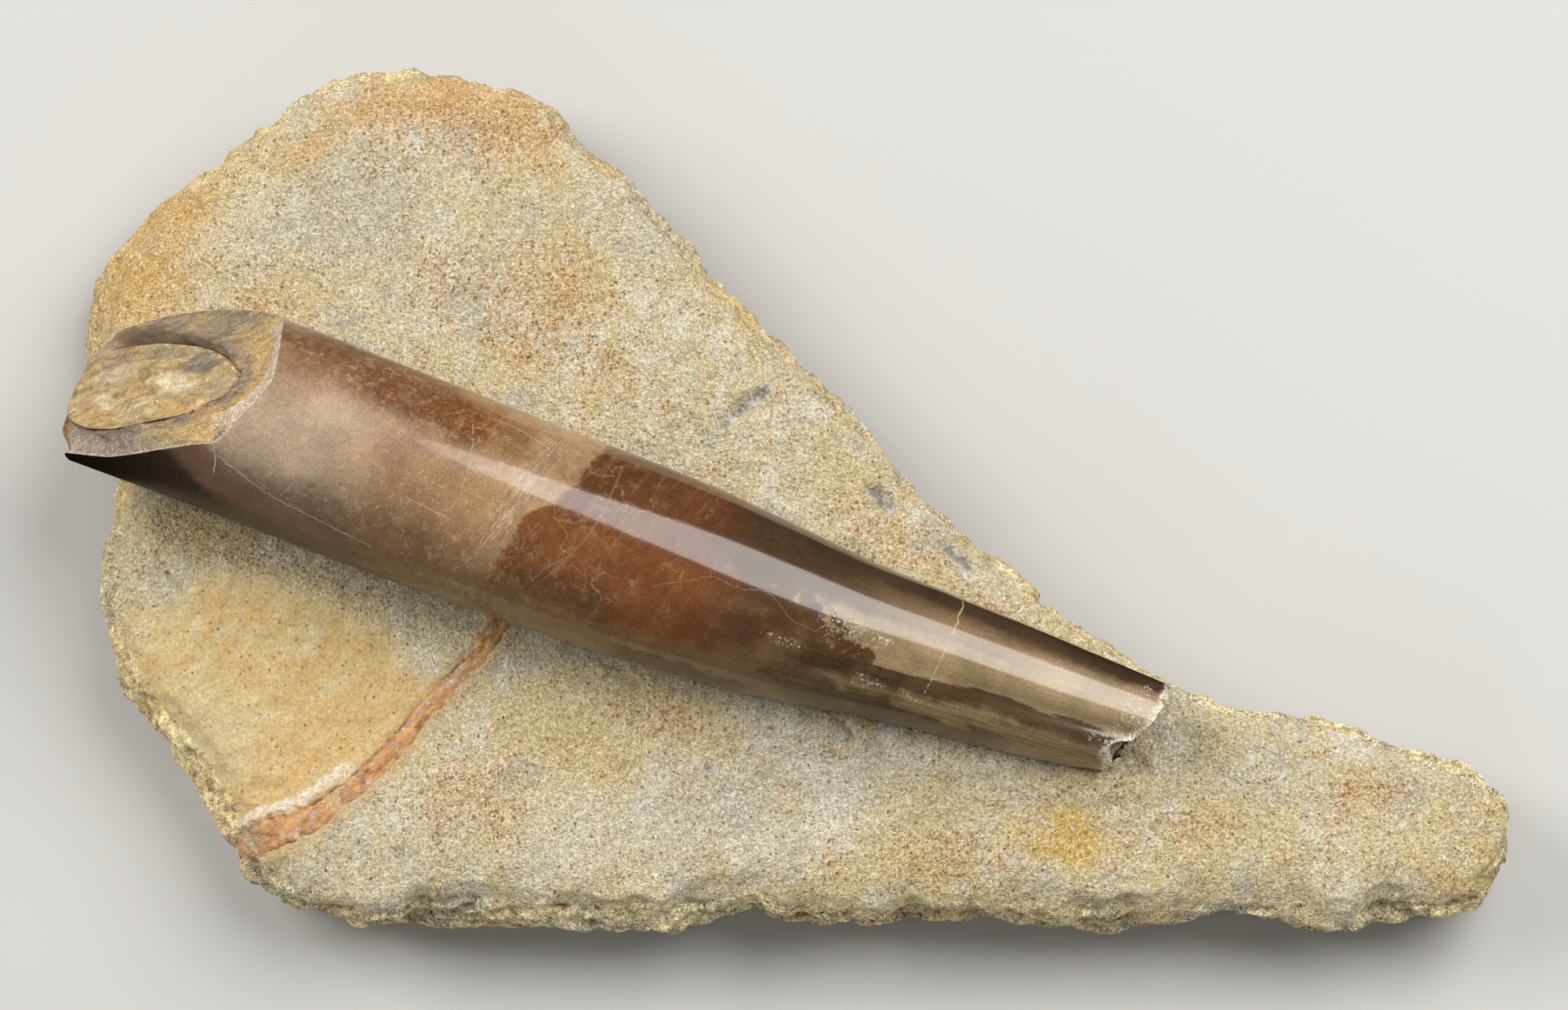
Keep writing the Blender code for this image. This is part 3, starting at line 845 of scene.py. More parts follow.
stone = {
    "cream": (0.615, 0.53, 0.35), "yellow": (0.6, 0.475, 0.235), "grey": (0.485, 0.44, 0.335),
    "pale": (0.68, 0.62, 0.49), "tan": (0.52, 0.42, 0.26), "rustWash": (0.58, 0.35, 0.13),
    # grains
    "white": (0.82, 0.77, 0.65), "rust": (0.42, 0.2, 0.06), "rustDark": (0.3, 0.16, 0.065),
    "dark": (0.125, 0.088, 0.05), "umber": (0.31, 0.24, 0.145),
    # the smooth bed, the shell line and the sides
    "bedDark": (0.5, 0.345, 0.135), "bed": (0.52, 0.4, 0.19), "bedPale": (0.56, 0.47, 0.29),
    "bedRust": (0.525, 0.325, 0.12), "bedGrey": (0.515, 0.43, 0.25), "flakeDark": (0.6, 0.5, 0.4),
    "flake": (0.72, 0.66, 0.56), "seamStain": (0.58, 0.4, 0.185), "seamGrooveShade": (0.17, 0.09, 0.045),
    "hollow": (0.2, 0.135, 0.06), "frontDust": (0.64, 0.475, 0.24), "sideDust": (0.66, 0.54, 0.3),
    # painted shade for the lower part of the sides
    "foot": (0.26, 0.18, 0.075),
    # stained zones, with painted shade in the hollow by the broken tip: middle, half size, turn, colour,
    # strength; in millimetres
    "zones": (
        ((-59, 67), (20, 5), 6, (0.62, 0.345, 0.11), 0.75), ((-46, 61), (9, 6), -40, (0.62, 0.4, 0.16), 0.6),
        ((-78, 60), (10, 3), 35, (0.62, 0.37, 0.13), 0.65),
        ((-107, 40), (10, 17), -28, (0.6, 0.375, 0.115), 0.95),
        ((-116, 15), (5, 14), 0, (0.59, 0.44, 0.21), 0.5),
        ((-73, 48), (13, 9), 20, (0.485, 0.455, 0.37), 0.6),
        ((-90, 43), (11, 7), 30, (0.66, 0.585, 0.43), 0.6), ((-52, 36), (9, 6), 60, (0.5, 0.47, 0.38), 0.5),
        ((-24, 44), (10, 7), -40, (0.52, 0.475, 0.37), 0.45),
        ((-30, 36), (7, 4), -30, (0.635, 0.5, 0.27), 0.5), ((-50, 44), (6, 5), 70, (0.605, 0.48, 0.24), 0.4),
        ((2, 19), (9, 5), -50, (0.51, 0.47, 0.37), 0.4), ((30, -14), (9, 4), -44, (0.52, 0.485, 0.39), 0.4),
        # painted shade in the hollow beyond the broken tip, and a browner patch under the tip's end
        ((63, -43), (6, 4), -10, (0.36, 0.33, 0.24), 0.6), ((56, -41), (4, 3), 0, (0.42, 0.33, 0.15), 0.5),
        ((44, -59), (8.5, 4.6), -6, (0.6, 0.39, 0.08), 1),
        ((-35, -42), (6, 4), 20, (0.59, 0.465, 0.19), 0.65), ((-41, 38), (9, 8), 20, (0.56, 0.43, 0.2), 0.6),
        ((62, -63), (10, 4), 0, (0.58, 0.45, 0.21), 0.45),
        ((-13, -54), (16, 8), 10, (0.52, 0.48, 0.39), 0.55),
        ((8, -46), (14, 7), -10, (0.5, 0.465, 0.38), 0.5), ((-38, -58), (10, 7), 20, (0.65, 0.6, 0.47), 0.5),
        ((-6, -62), (5, 4), 0, (0.7, 0.65, 0.53), 0.5), ((30, -46), (9, 5), -20, (0.64, 0.585, 0.46), 0.5),
        ((112, -60), (10, 11), 0, (0.6, 0.45, 0.18), 0.8), ((88, -60), (16, 6), -5, (0.6, 0.475, 0.25), 0.55),
        ((80, -50), (14, 4), -12, (0.56, 0.52, 0.41), 0.4),
        ((100, -46), (9, 5), -20, (0.55, 0.49, 0.36), 0.4), ((-112, -22), (5, 14), 0, (0.61, 0.5, 0.28), 0.6),
        ((-90, -17), (12, 7), -20, (0.6, 0.49, 0.31), 0.4),
        ((-68, -20), (18, 5), -19, (0.62, 0.485, 0.27), 0.65),
        ((-28, -34), (26, 5), -19, (0.62, 0.49, 0.28), 0.6),
    ),
    "streak": (0.7, 0.68, 0.62), "scarDark": (0.21, 0.195, 0.185), "scarPale": (0.62, 0.6, 0.54),
    # patches of whitish streaks, scars, rusty clusters: middle, half size, turn
    "streaks": (((76.5, -47.5), (12, 4.5), 10), ((92, -42.5), (8, 3.5), -14), ((29, -13.8), (7, 1.6), -44)),
    "scars": (
        ((-7, 13.6), (5.6, 1), 42), ((-4.2, 15.4), (3.2, 0.9), 46), ((15.6, -2.6), (3.2, 1.3), -42),
        ((-13.6, -47.4), (1.7, 0.8), 0), ((9.8, -41.8), (2.2, 0.5), -50), ((8.6, -43), (1.5, 0.4), 10),
        ((27.3, -11.8), (4.4, 0.8), -44),
    ),
    "rusty": (
        ((-41, 29), (9, 10), 20), ((-47, 24), (6, 4), -30), ((-56, 35), (8, 5), 30), ((17, -10), (9, 6), -42),
        ((-52, 62), (16, 5), 0), ((37, -24), (9, 3.5), -40), ((-88, 30), (7, 5), 0), ((-30, 20), (8, 4), -20),
        ((26, -62), (9, 4), 0), ((95, -52), (8, 4), 0), ((-52, -52), (10, 7), 20), ((66, -57), (7, 3), 0),
        ((-96, -8), (12, 5), -20), ((-22, -38), (9, 4), -20), ((-36, 34), (7, 6), -50),
    ),
}


def stoneMaterial():
    material, shader = newMaterial("sandy_limestone")
    place = mapped(objectPlace(), size=(mm, mm, mm))
    fromSeam, push, level = split(carried("worn"))
    wander = moved(place, grain(place, 0.09, 3, 0.62, colour=True), 10)
    broad = grain(place, 0.035, 3, 0.6)
    mid = grain(place, 0.11, 3, 0.55)
    other = grain(mapped(place, (31, 17, 5), size=(1, 1.7, 1)), 0.13, 3, 0.55)
    small = grain(place, 0.42, 4, 0.65)
    fine = grain(place, 1.7, 3, 0.7)
    colour = mix(ramp(mid, 0.5, 0.66, 0, 0.8),
                 mix(ramp(broad, 0.42, 0.6, 0, 0.8), stone["cream"], stone["yellow"]), stone["yellow"])
    colour = mix(ramp(other, 0.54, 0.66, 0, 0.75), mix(ramp(mid, 0.46, 0.32, 0, 0.85), colour, stone["grey"]),
                 stone["pale"])
    colour = tinted(colour, stone["tan"], ramp(other, 0.44, 0.34, 0, 0.45))
    for middle, size, turn, tint, strength in stone["zones"]:
        mask = column(wander, middle, size, turn, 0.5)
        colour = tinted(colour, tint, mask, strength, ramp(mid, 0.3, 0.55, 0.5, 1))
    # the smooth ochre bed behind the shell line
    bed = times(ramp(fromSeam, -0.1, 0.2), column(wander, (-81, -40), (32, 21), -36, 0.14))
    washes = streaked(wander, 41, (9, 2.2, 9), 0.6)
    bedTint = mix(ramp(washes, 0.4, 0.6), stone["bedDark"], stone["bed"])
    bedTint = layered(
        bedTint,
        (stone["bedPale"], ramp(washes, 0.56, 0.66, 0, 0.7)),
        (stone["bedRust"], column(wander, (-76, -44), (16, 6), 40, 0.6), 0.55),
        (stone["bedGrey"], column(wander, (-94, -40), (7, 9), 20, 0.6), 0.6))
    colour = tinted(colour, bedTint, bed, 0.94)
    clusters = largest([column(wander, middle, size, turn, 0.6) for middle, size, turn in stone["rusty"]])
    elsewhere = grain(mapped(place, (9, 3, 40)), 0.16, 4, 0.65)
    rusty = larger(times(clusters, ramp(small, 0.36, 0.56, 0.45, 1)), times(ramp(elsewhere, 0.5, 0.64), 0.5))
    rusty = times(rusty, ramp(bed, 0, 1, 1, 0.12))
    colour = tinted(colour, stone["rustWash"], rusty, ramp(small, 0.4, 0.62, 0.12, 0.55))

    # grains: one in so many of the cells is coloured over part of its size
    jittered = moved(place, grain(place, 2.2, 2, 0.6, colour=True), 0.75)

    def grains(tone, scale, reach, chance, tint, strength, within):
        gap, pick = cellPair(jittered, scale)
        size = ramp(pick[1], 0, 1, reach * 0.55, reach, soft=False)
        mask = times(ramp(minus(gap, size), 0.06, -0.08), ramp(minus(pick[0], chance), 0.01, -0.01))
        return tinted(tone, tint, mask, strength, within)

    plain = ramp(bed, 0, 1, 1, 0.25)
    gritTone = cellPair(place, 1.55)[1][2]
    speck = cellPair(place, 4.4)[1][0]
    tone = plus(swing(gritTone, 0.12), swing(speck, 0.46))
    # bright grains turn whiter, dark ones only darker
    colour = shaded(colour, plus(times(calc("MINIMUM", tone, 0), plain, 1.5), 1))
    colour = grains(mix(1, colour, times(larger(tone, 0), plain, 0.8), "ADD"), 1.3, 0.5,
                    plus(ramp(mid, 0.6, 0.4, 0, 0.22), 0.12), stone["white"], 0.55, plain)
    rustTint = mix(ramp(small, 0.4, 0.6), stone["rust"], stone["rustDark"])
    colour = grains(colour, 1.05, 0.4, plus(times(rusty, 0.62), 0.05), rustTint, 0.9, 1)
    colour = grains(colour, 1.9, 0.46, plus(times(rusty, 0.6), 0.05), rustTint, 0.8, 1)
    colour = grains(colour, 1.5, 0.38, plus(times(rusty, 0.18), 0.07), stone["dark"], 0.85, 1)
    colour = grains(colour, 2.3, 0.42, ramp(small, 0.6, 0.4, 0.04, 0.26), stone["umber"], 0.55, plain)

    streaks = ramp(streaked(wander, 12, (3.5, 1.1, 2), 0.7), 0.54, 0.64)
    for middle, size, turn in stone["streaks"]:
        colour = tinted(colour, stone["streak"], column(wander, middle, size, turn, 0.5), streaks, 0.85)
    scarred = moved(place, joined(small, fine, mid), 3)
    for middle, size, turn in stone["scars"]:
        scar = times(column(scarred, middle, size, turn, 0.3), 0.85)
        colour = mix(scar, colour, mix(ramp(small, 0.4, 0.6), stone["scarDark"], stone["scarPale"]))
    # whitish flake along the shell line, ochre stain beside it, painted shade in the groove along its edge
    flake = times(band(plus(fromSeam, times(small, 2)), 1.3, 1.5, 3.4, 4.2),
                  column(wander, (-80, -53), (13, 4.5), 28, 0.3))
    colour = tinted(colour, mix(ramp(fine, 0.4, 0.6), stone["flakeDark"], stone["flake"]), flake, 0.85)
    seamSide = column(place, (-72, -43), (38, 30), -38, 0.2)
    colour = layered(
        colour,
        (stone["seamStain"], band(fromSeam, -2.6, -0.2, 0.5, 3), seamSide,
         ramp(small, 0.35, 0.6, 0.25, 0.75)),
        # painted shade in the groove beside the band
        (stone["seamGrooveShade"], band(fromSeam, 0, 0.15, 0.35, 0.9), seamSide, ramp(small, 0.46, 0.54, 0.15, 0.9)))

    # dust and shade lie in the hollows of the broken sides
    steep = ramp(level, 0.75, 0.25)
    front = ramp(split(place)[1], -20, -42, 0.15, 1)
    colour = layered(
        colour,
        (stone["hollow"], steep, front, ramp(push, 0, -2), 0.7),
        (mix(front, stone["frontDust"], stone["sideDust"]), steep, ramp(mid, 0.4, 0.62, 0.2, 0.7)))
    rugged = plus(plus(swing(small, 3.4), times(tone, 2.2)), 0.1)
    rugged = times(rugged, steep, ramp(front, 0.3, 0.9, 0.55, 1))
    colour = shaded(colour, plus(rugged, 1))
    # painted shade: the steep sides darker towards the bottom
    colour = tinted(colour, stone["foot"], steep, ramp(split(place)[2], 11, 3),
                    ramp(small, 0.35, 0.55, 0.5, 1), 0.5)
    colour = shaded(colour, ramp(fine, 0.3, 0.7, 0.82, 1.16))
    feedAll(shader, {"Base Color": colour, "Roughness": 0.93, "Specular IOR Level": 0.2})
    height = plus(times(fine, 0.8), times(small, 1.4))
    height = plus(height, plus(times(gritTone, 0.22), times(speck, 0.14)))
    bumped(shader, height, ramp(bed, 0, 1, 0.85, 0.3), 0.001)
    return material


calcite = {
    "left": (0.37, 0.27, 0.185), "centre": (0.275, 0.162, 0.082), "amber": (0.13, 0.04, 0.008),
    "leftBrown": (0.205, 0.105, 0.048), "pale": (0.37, 0.245, 0.135),
    "red": (0.16, 0.058, 0.022), "redDark": (0.1, 0.038, 0.016), "redFibre": (0.23, 0.105, 0.045),
    "brownDark": (0.085, 0.045, 0.022), "brown": (0.13, 0.078, 0.04), "tan": (0.285, 0.205, 0.108),
    "umber": (0.06, 0.032, 0.015), "tipBrown": (0.21, 0.138, 0.068), "back": (0.056, 0.032, 0.018),
    "tipPale": (0.31, 0.22, 0.125),
    # the front flank, with painted shade where it turns under and a painted reflection of the stone along its
    # lower edge
    "plumShade": (0.07, 0.038, 0.026), "plumShadeWarm": (0.125, 0.066, 0.032), "olive": (0.17, 0.108, 0.052),
    "flankBrown": (0.085, 0.042, 0.018), "flankDark": (0.06, 0.034, 0.016),
    "underShadeDark": (0.036, 0.019, 0.012), "underShadeWarm": (0.08, 0.043, 0.026), "underStoneReflection": (0.1, 0.072, 0.032),
    "furrow": (0.06, 0.034, 0.016), "belowDark": (0.165, 0.105, 0.048), "belowPale": (0.24, 0.17, 0.085),
    "belowBrown": (0.066, 0.044, 0.023),
    # veins, cracks and scuffs
    "vein": (0.44, 0.31, 0.18), "hair": (0.5, 0.37, 0.215), "wisp": (0.46, 0.33, 0.2),
    "crackLine": (0.5, 0.4, 0.28), "strandDark": (0.155, 0.125, 0.105), "strandPale": (0.6, 0.5, 0.38),
    "scuff": (0.7, 0.65, 0.53),
    # the broken ends
    "wallDark": (0.2, 0.145, 0.098), "wallPale": (0.4, 0.31, 0.215), "wallOchre": (0.44, 0.295, 0.135),
    "wallShade": (0.185, 0.145, 0.11), "lowerDark": (0.3, 0.215, 0.105), "lowerPale": (0.46, 0.345, 0.185),
    "ochre": (0.6, 0.355, 0.1), "ochrePale": (0.72, 0.53, 0.235), "chalkDark": (0.5, 0.385, 0.275),
    "chalk": (0.8, 0.69, 0.55), "mauveDark": (0.2, 0.148, 0.112), "mauvePale": (0.345, 0.28, 0.22),
    "mauveFleck": (0.62, 0.55, 0.47), "rust": (0.3, 0.165, 0.055), "seamShade": (0.15, 0.105, 0.07),
    "rimLine": (0.7, 0.64, 0.56), "cleft": (0.13, 0.08, 0.048), "footDark": (0.38, 0.265, 0.165),
    "footPale": (0.47, 0.37, 0.28), "tipDark": (0.13, 0.085, 0.035), "tipChalk": (0.5, 0.44, 0.32),
    "tipRim": (0.8, 0.76, 0.68),
    # distance along and round the guard: where the flank turns under, and the furrow's upper edge
    "underLine": ((0, -2), (20, -4), (27, -8), (31, -11.5), (36, -13.6), (44, -15.2), (60, -17.5), (80, -24)),
    "furrowLine": ((118, -7), (134, -6), (142, -5.1), (147.5, -5.1), (154.5, -4.5), (161.4, -3.6),
                   (168.7, -4), (175.9, -3.7), (184, -4.3)),
    # scuffs on the skin: middle and half size
    "scuffs": (
        ((134.8, -0.6, 1), (3.4, 1.5, 9)), ((141.5, -1.2, 1), (1.6, 1.2, 9)),
        ((141.4, -8.6, 1), (2.6, 0.9, 9)), ((149.6, -9, 1), (2.6, 0.6, 9)), ((183.6, -1.5, 1), (2.2, 5, 9)),
        ((181, -5.2, 1), (3, 1.1, 9)), ((185, 5, 1), (0.8, 2, 9)), ((127, -6.5, 1), (3, 0.8, 9)),
    ),
    # patches of colour on the broken wide end: middle, half size, colour, strength
    "wallPatches": (
        ((6.5, 8, -11), (4.5, 2.6, 3), (0.17, 0.115, 0.065), 0.85),
        ((3.5, 4.6, -12), (3, 2.4, 4), (0.42, 0.32, 0.235), 0.8),
        ((18.5, 13, -4.5), (3.4, 2, 4), (0.47, 0.315, 0.125), 0.7),
        ((20.5, 12.8, -2.8), (3.4, 2.4, 3.5), (0.3, 0.235, 0.155), 0.8),
        ((32, 15, 2.2), (4, 2.8, 4.5), (0.27, 0.195, 0.105), 0.8),
        ((12, 9.6, -8.6), (4.5, 1.8, 3), (0.15, 0.105, 0.068), 0.8),
        ((25.5, -3, 9.5), (3.4, 2.2, 3), (0.5, 0.31, 0.175), 0.75),
    ),
}


def calciteMaterial():
    material, shader = newMaterial("polished_calcite")
    place = guardPlace()
    flat = carried("unrolled")
    onSkin = split(flat)[2]
    clouds = grain(place, 0.11, 5, 0.62, 0.4)
    mottle = grain(place, 0.42, 4, 0.68)
    fine = grain(place, 2.6, 3, 0.7)
    softJitter = grain(place, 0.16, 4, 0.6, colour=True)
    nearJitter = grain(place, 0.5, 3, 0.6, colour=True)
    soft = moved(flat, softJitter, 9)
    near = moved(flat, nearJitter, 2.2)
    crisp = moved(flat, grain(place, 1, 2, 0.5, colour=True), 0.7)
    # along and around the guard in millimetres, shifted much, less and least
    x, a, _ = split(soft)
    nx, na, _ = split(near)
    cx, ca, _ = split(crisp)
    slanted = minus(nx, times(na, 0.22))

    # broad colours along the guard
    colour = mix(ramp(x, 44, 62), calcite["left"], calcite["centre"])
    amber = larger(area(soft, (52, 13.5, 1), (23, 7.2, 100), -6, 0.35),
                   area(soft, (66, 9, 1), (7, 3.6, 100), 0, 0.5))
    colour = layered(
        colour,
        (calcite["amber"], amber, ramp(mottle, 0.32, 0.56, 0.55, 1)),
        (calcite["leftBrown"], area(soft, (31, 8.5, 1), (14, 6.5, 100), 0, 0.7),
         ramp(mottle, 0.34, 0.6, 0.55, 1)),
        (calcite["pale"], band(slanted, 74, 79, 83, 85.6), ramp(na, -9, -2, 0.35, 1),
         ramp(mottle, 0.38, 0.6, 0.1, 0.75)))
    red = mix(ramp(a, -2, 4), calcite["red"], calcite["redDark"])
    red = layered(
        red,
        (calcite["redDark"], ramp(x, 106, 122, 0, 0.85)),
        (calcite["redFibre"], ramp(streaked(flat, -12, (1.2, 12, 1), 0.65), 0.5, 0.72, 0, 0.42)))
    redEdge = plus(minus(cx, times(ca, 0.24)), ramp(ca, 1.5, -2.5, 0, 3.4))
    redEdge = plus(redEdge, swing(clouds, 9))
    colour = tinted(colour, red, ramp(redEdge, 84.4, 85.6))
    # right of the red, brown with a mottled tan that takes over towards the tip
    brown = mix(ramp(clouds, 0.42, 0.6), calcite["brownDark"], calcite["brown"])
    colour = tinted(colour, brown, ramp(x, 110, 120, 0, 0.8))
    onTop = mix(ramp(x, 126, 158), calcite["umber"], calcite["tipBrown"])
    onTop = tinted(onTop, calcite["back"], ramp(plus(na, times(minus(nx, 150), 0.09)), 5.5, 9.5))
    spread = plus(cx, swing(mottle, 44))
    spread = plus(spread, swing(clouds, 34))
    colour = layered(
        colour,
        (calcite["tan"], ramp(plus(spread, times(ca, 1.9)), 128, 133), ramp(na, 3.4, 1.6), 0.9),
        (onTop, ramp(na, 0.5, 4), ramp(x, 108, 122)),
        (calcite["tipPale"], ramp(x, 158, 174), ramp(na, 6.5, 4), 0.75))

    # the front flank: mauve brown to the left and near black under the rim, both painted shade where it turns
    # under; olive towards the right, a painted reflection of the stone
    colour = layered(
        colour,
        (mix(ramp(nx, 44, 60), calcite["plumShade"], calcite["plumShadeWarm"]), ramp(a, -6, -13), ramp(x, 86, 60),
         0.75),
        # painted reflection of the stone on the lower flank
        (calcite["olive"], ramp(a, -11.5, -15), band(nx, 62, 78, 126, 138), 0.8),
        (calcite["flankBrown"], area(soft, (90, -12.5, 1), (10, 3.2, 100), 6, 0.4), 0.7),
        (calcite["flankDark"], ramp(plus(a, times(mottle, 6)), -14.5, -16), band(nx, 98, 104, 120, 128), 0.8))
    # painted shade under the flank: near black, darker still further under
    underEdge = lineOf(nx, calcite["underLine"], -26, 0)
    under = times(times(ramp(minus(na, underEdge), 1.8, -1.8), ramp(nx, 66, 40)), onSkin)
    underShadeTint = mix(ramp(plus(nx, times(mottle, 14)), 20, 36), calcite["underShadeDark"], calcite["underShadeWarm"])
    underShadeTint = shaded(underShadeTint, ramp(minus(na, underEdge), -9.5, -5, 0.48, 1.9))
    # the painted shade laid in, then a painted reflection of the stone along the lowest edge
    colour = tinted(mix(under, colour, underShadeTint), calcite["underStoneReflection"],
                    times(ramp(na, -18.5, -21), band(nx, 26, 38, 70, 90)), 0.65)

    # the furrow's dark band and what lies below it
    upper = lineOf(nx, calcite["furrowLine"], -8, -3)
    fibre = streaked(flat, 0, (9, 0.45, 1), 0.65)
    dark = times(ramp(plus(minus(ca, upper), swing(fibre, 2.6)), 0.25, -0.35),
                 ramp(minus(na, upper), -4, -2.2), ramp(x, 122, 138))
    colour = layered(
        colour,
        (mix(ramp(fibre, 0.4, 0.6), calcite["belowDark"], calcite["belowPale"]),
         ramp(minus(na, upper), -1.8, -3.2), ramp(x, 122, 138), 0.8),
        (calcite["furrow"], dark, 0.92),
        (calcite["belowBrown"], ramp(plus(a, times(clouds, 4)), -8, -9.8), band(nx, 128, 136, 158, 170),
         0.75))

    # grain of the calcite: clouds, veins, fibres along it, fine mottling
    colour = shaded(colour, ramp(clouds, 0.3, 0.7, 0.8, 1.18))
    notUnder = times(onSkin, ramp(under, 0, 0.6, 1, 0))
    colour = tinted(colour, calcite["pale"], ramp(mottle, 0.5, 0.7), ramp(nx, 112, 90), notUnder, 0.28)
    veins = ramp(cells(moved(place, softJitter, 9), 0.105, "DISTANCE_TO_EDGE"), 0.016, 0.004)
    colour = tinted(colour, calcite["vein"], veins, band(nx, 26, 48, 92, 124), ramp(na, -13, -10),
                    ramp(clouds, 0.42, 0.56), notUnder, 0.37)
    hairs = ramp(cells(moved(place, nearJitter, 4), 0.24, "DISTANCE_TO_EDGE"), 0.022, 0.006)
    colour = tinted(colour, calcite["hair"], hairs, band(nx, 20, 40, 76, 100), ramp(na, -15, -11),
                    ramp(mottle, 0.46, 0.6), notUnder, 0.5)
    wisps = streaked(soft, 70, (3, 0.8, 1), 0.7)
    colour = tinted(colour, calcite["wisp"], ramp(wisps, 0.54, 0.68), band(nx, 14, 30, 78, 96), notUnder,
                    0.35)
    colour = shaded(colour, mix(ramp(nx, 112, 134), (1, 1, 1), ramp(fibre, 0.3, 0.7, 0.91, 1.08)))
    colour = shaded(colour, ramp(fine, 0.3, 0.7, 0.79, 1.2))

    # cracks
    gaps = ramp(grain(place, 0.8, 3, 0.7), 0.46, 0.52)
    around = (
        crack(ca, cx, ((-14.5, 31.3), (-11.6, 31), (-8.5, 29.6)), 0.2),
        crack(ca, cx, ((-6, 69.6), (-2.8, 70), (1.3, 70.1), (5.3, 69.4), (11.5, 67.6)), 0.26, gaps, 0.5),
        crack(ca, cx, ((3, 151.7), (5.9, 152.1), (7.8, 151.9), (9.5, 152.2), (12.5, 151.6)), 0.28),
        crack(ca, cx, ((-7.5, 150.7), (-4.2, 151.2), (-1.9, 151.4), (3, 151.7)), 0.24, gaps),
        crack(ca, cx, ((-11, 87), (-5.5, 90), (1.2, 92.4), (6.6, 93), (13.5, 92.8)), 0.5, 0.16),
        crack(ca, cx, ((-12, 85.5), (-8, 87.6), (-5, 91)), 0.25, 0.35),
        crack(ca, cx, ((-14, 74), (-9, 76.2), (-3, 78.4), (4, 80)), 0.3, gaps, 0.7),
    )
    along = (
        crack(cx, ca, ((30.9, -10.8), (36, -12.6), (40.7, -14.3), (46.3, -15.2), (51.9, -15.9), (59.3, -17)),
              0.17),
        crack(cx, ca, ((62, -6), (66.9, -6.4), (69.8, -6.6)), 0.22, 0.7),
        crack(cx, ca, ((69.9, 13.2), (74.7, 13.1), (78.7, 11.8), (81.4, 11.1)), 0.2, 0.7),
        crack(cx, ca,
              ((104, -5.6), (106.1, -4.4), (109.8, -2.5), (113.1, -0.8), (117.1, -1), (121.5, -0.1),
               (124.5, -1.4), (127.1, -2.8), (131.5, -3.2)), 0.2, 0.26),
    )
    cracks = largest(around + along)
    colour = tinted(colour, calcite["crackLine"], cracks, 0.75)
    bundleX = minus(cx, times(ca, 0.24))
    strands = streaked(crisp, -13.5, (0.32, 3.4, 1), 0.7)
    inBundle = times(band(bundleX, 76.4, 77.6, 80.4, 81.6), band(na, -11, -7, 12, 15.5))
    colour = layered(
        colour,
        (calcite["strandDark"], inBundle, ramp(strands, 0.52, 0.6), 0.7),
        (calcite["strandPale"], inBundle, ramp(strands, 0.42, 0.36), 0.7))

    # scuffs and scratches
    chips = grain(place, 2.2, 3, 0.75)
    scuffed = largest([area(near, middle, size, 0, 0.5) for middle, size in calcite["scuffs"]])
    scuffs = times(scuffed, ramp(chips, 0.56, 0.62))
    slashes = times(area(flat, (135.6, -1.6, 1), (6, 3.4, 9), 0, 0.3),
                    ramp(grain(mapped(flat, (0, 0, 0), (0, 0, -128), (4.5, 0.16, 1)), 1, 2), 0.66, 0.7))
    scuffs = larger(scuffs, slashes)
    broken = carried("broken")
    rimGap, fillGap, turn = split(broken)
    scuffs = larger(scuffs,
                    times(ramp(plus(rimGap, swing(mottle, 3)), 1.7, 0.5), ramp(nx, 150, 160),
                          ramp(chips, 0.43, 0.52)))
    colour = tinted(colour, calcite["scuff"], scuffs, 0.85)

    # the broken end and the broken tip
    wobble = plus(rimGap, swing(mottle, 5))
    striae = streaked(broken, 0, (16, 16, 1.5), 0.7)
    patchy = grain(place, 0.24, 4, 0.65)
    slant = streaked(place, 38, (4.5, 0.8, 3), 0.7, 5)
    wall = mix(ramp(patchy, 0.5, 0.6, 0, 0.75),
               mix(ramp(slant, 0.38, 0.62), calcite["wallDark"], calcite["wallPale"]), calcite["wallOchre"])
    wall = tinted(wall, calcite["wallShade"], ramp(patchy, 0.44, 0.34, 0, 0.7))
    bent = moved(place, nearJitter, 4)
    for middle, size, tint, strength in calcite["wallPatches"]:
        wall = tinted(wall, tint, area(bent, middle, size, 0, 0.5), strength)
    wall = tinted(wall, mix(ramp(mottle, 0.4, 0.6), calcite["lowerDark"], calcite["lowerPale"]),
                  band(turn, -66, -48, -36, -26), 0.7)
    ochre = times(band(wobble, 0.6, 1.4, 6, 8.5), band(turn, -46, -28, 62, 96),
                  ramp(slant, 0.34, 0.52, 0.35, 1))
    wall = tinted(wall, mix(ramp(chips, 0.4, 0.6), calcite["ochre"], calcite["ochrePale"]), ochre,
                  ramp(mottle, 0.35, 0.6, 0.5, 0.95))
    chalky = minus(wobble, times(band(turn, -34, -22, 30, 56), 1.5))
    whitish = times(ramp(chalky, 3.3, 1.5), band(turn, -26, -14, 64, 76), ramp(slant, 0.32, 0.48, 0.45, 1))
    wall = tinted(wall, mix(ramp(chips, 0.42, 0.6), calcite["chalkDark"], calcite["chalk"]), whitish, 0.9)
    mauve = band(plus(turn, times(mottle, 16)), -96, -88, -48, -34)
    mauveTint = mix(ramp(striae, 0.34, 0.68), calcite["mauveDark"], calcite["mauvePale"])
    mauveTint = tinted(mauveTint, calcite["mauveFleck"], ramp(chips, 0.54, 0.62), 0.5)
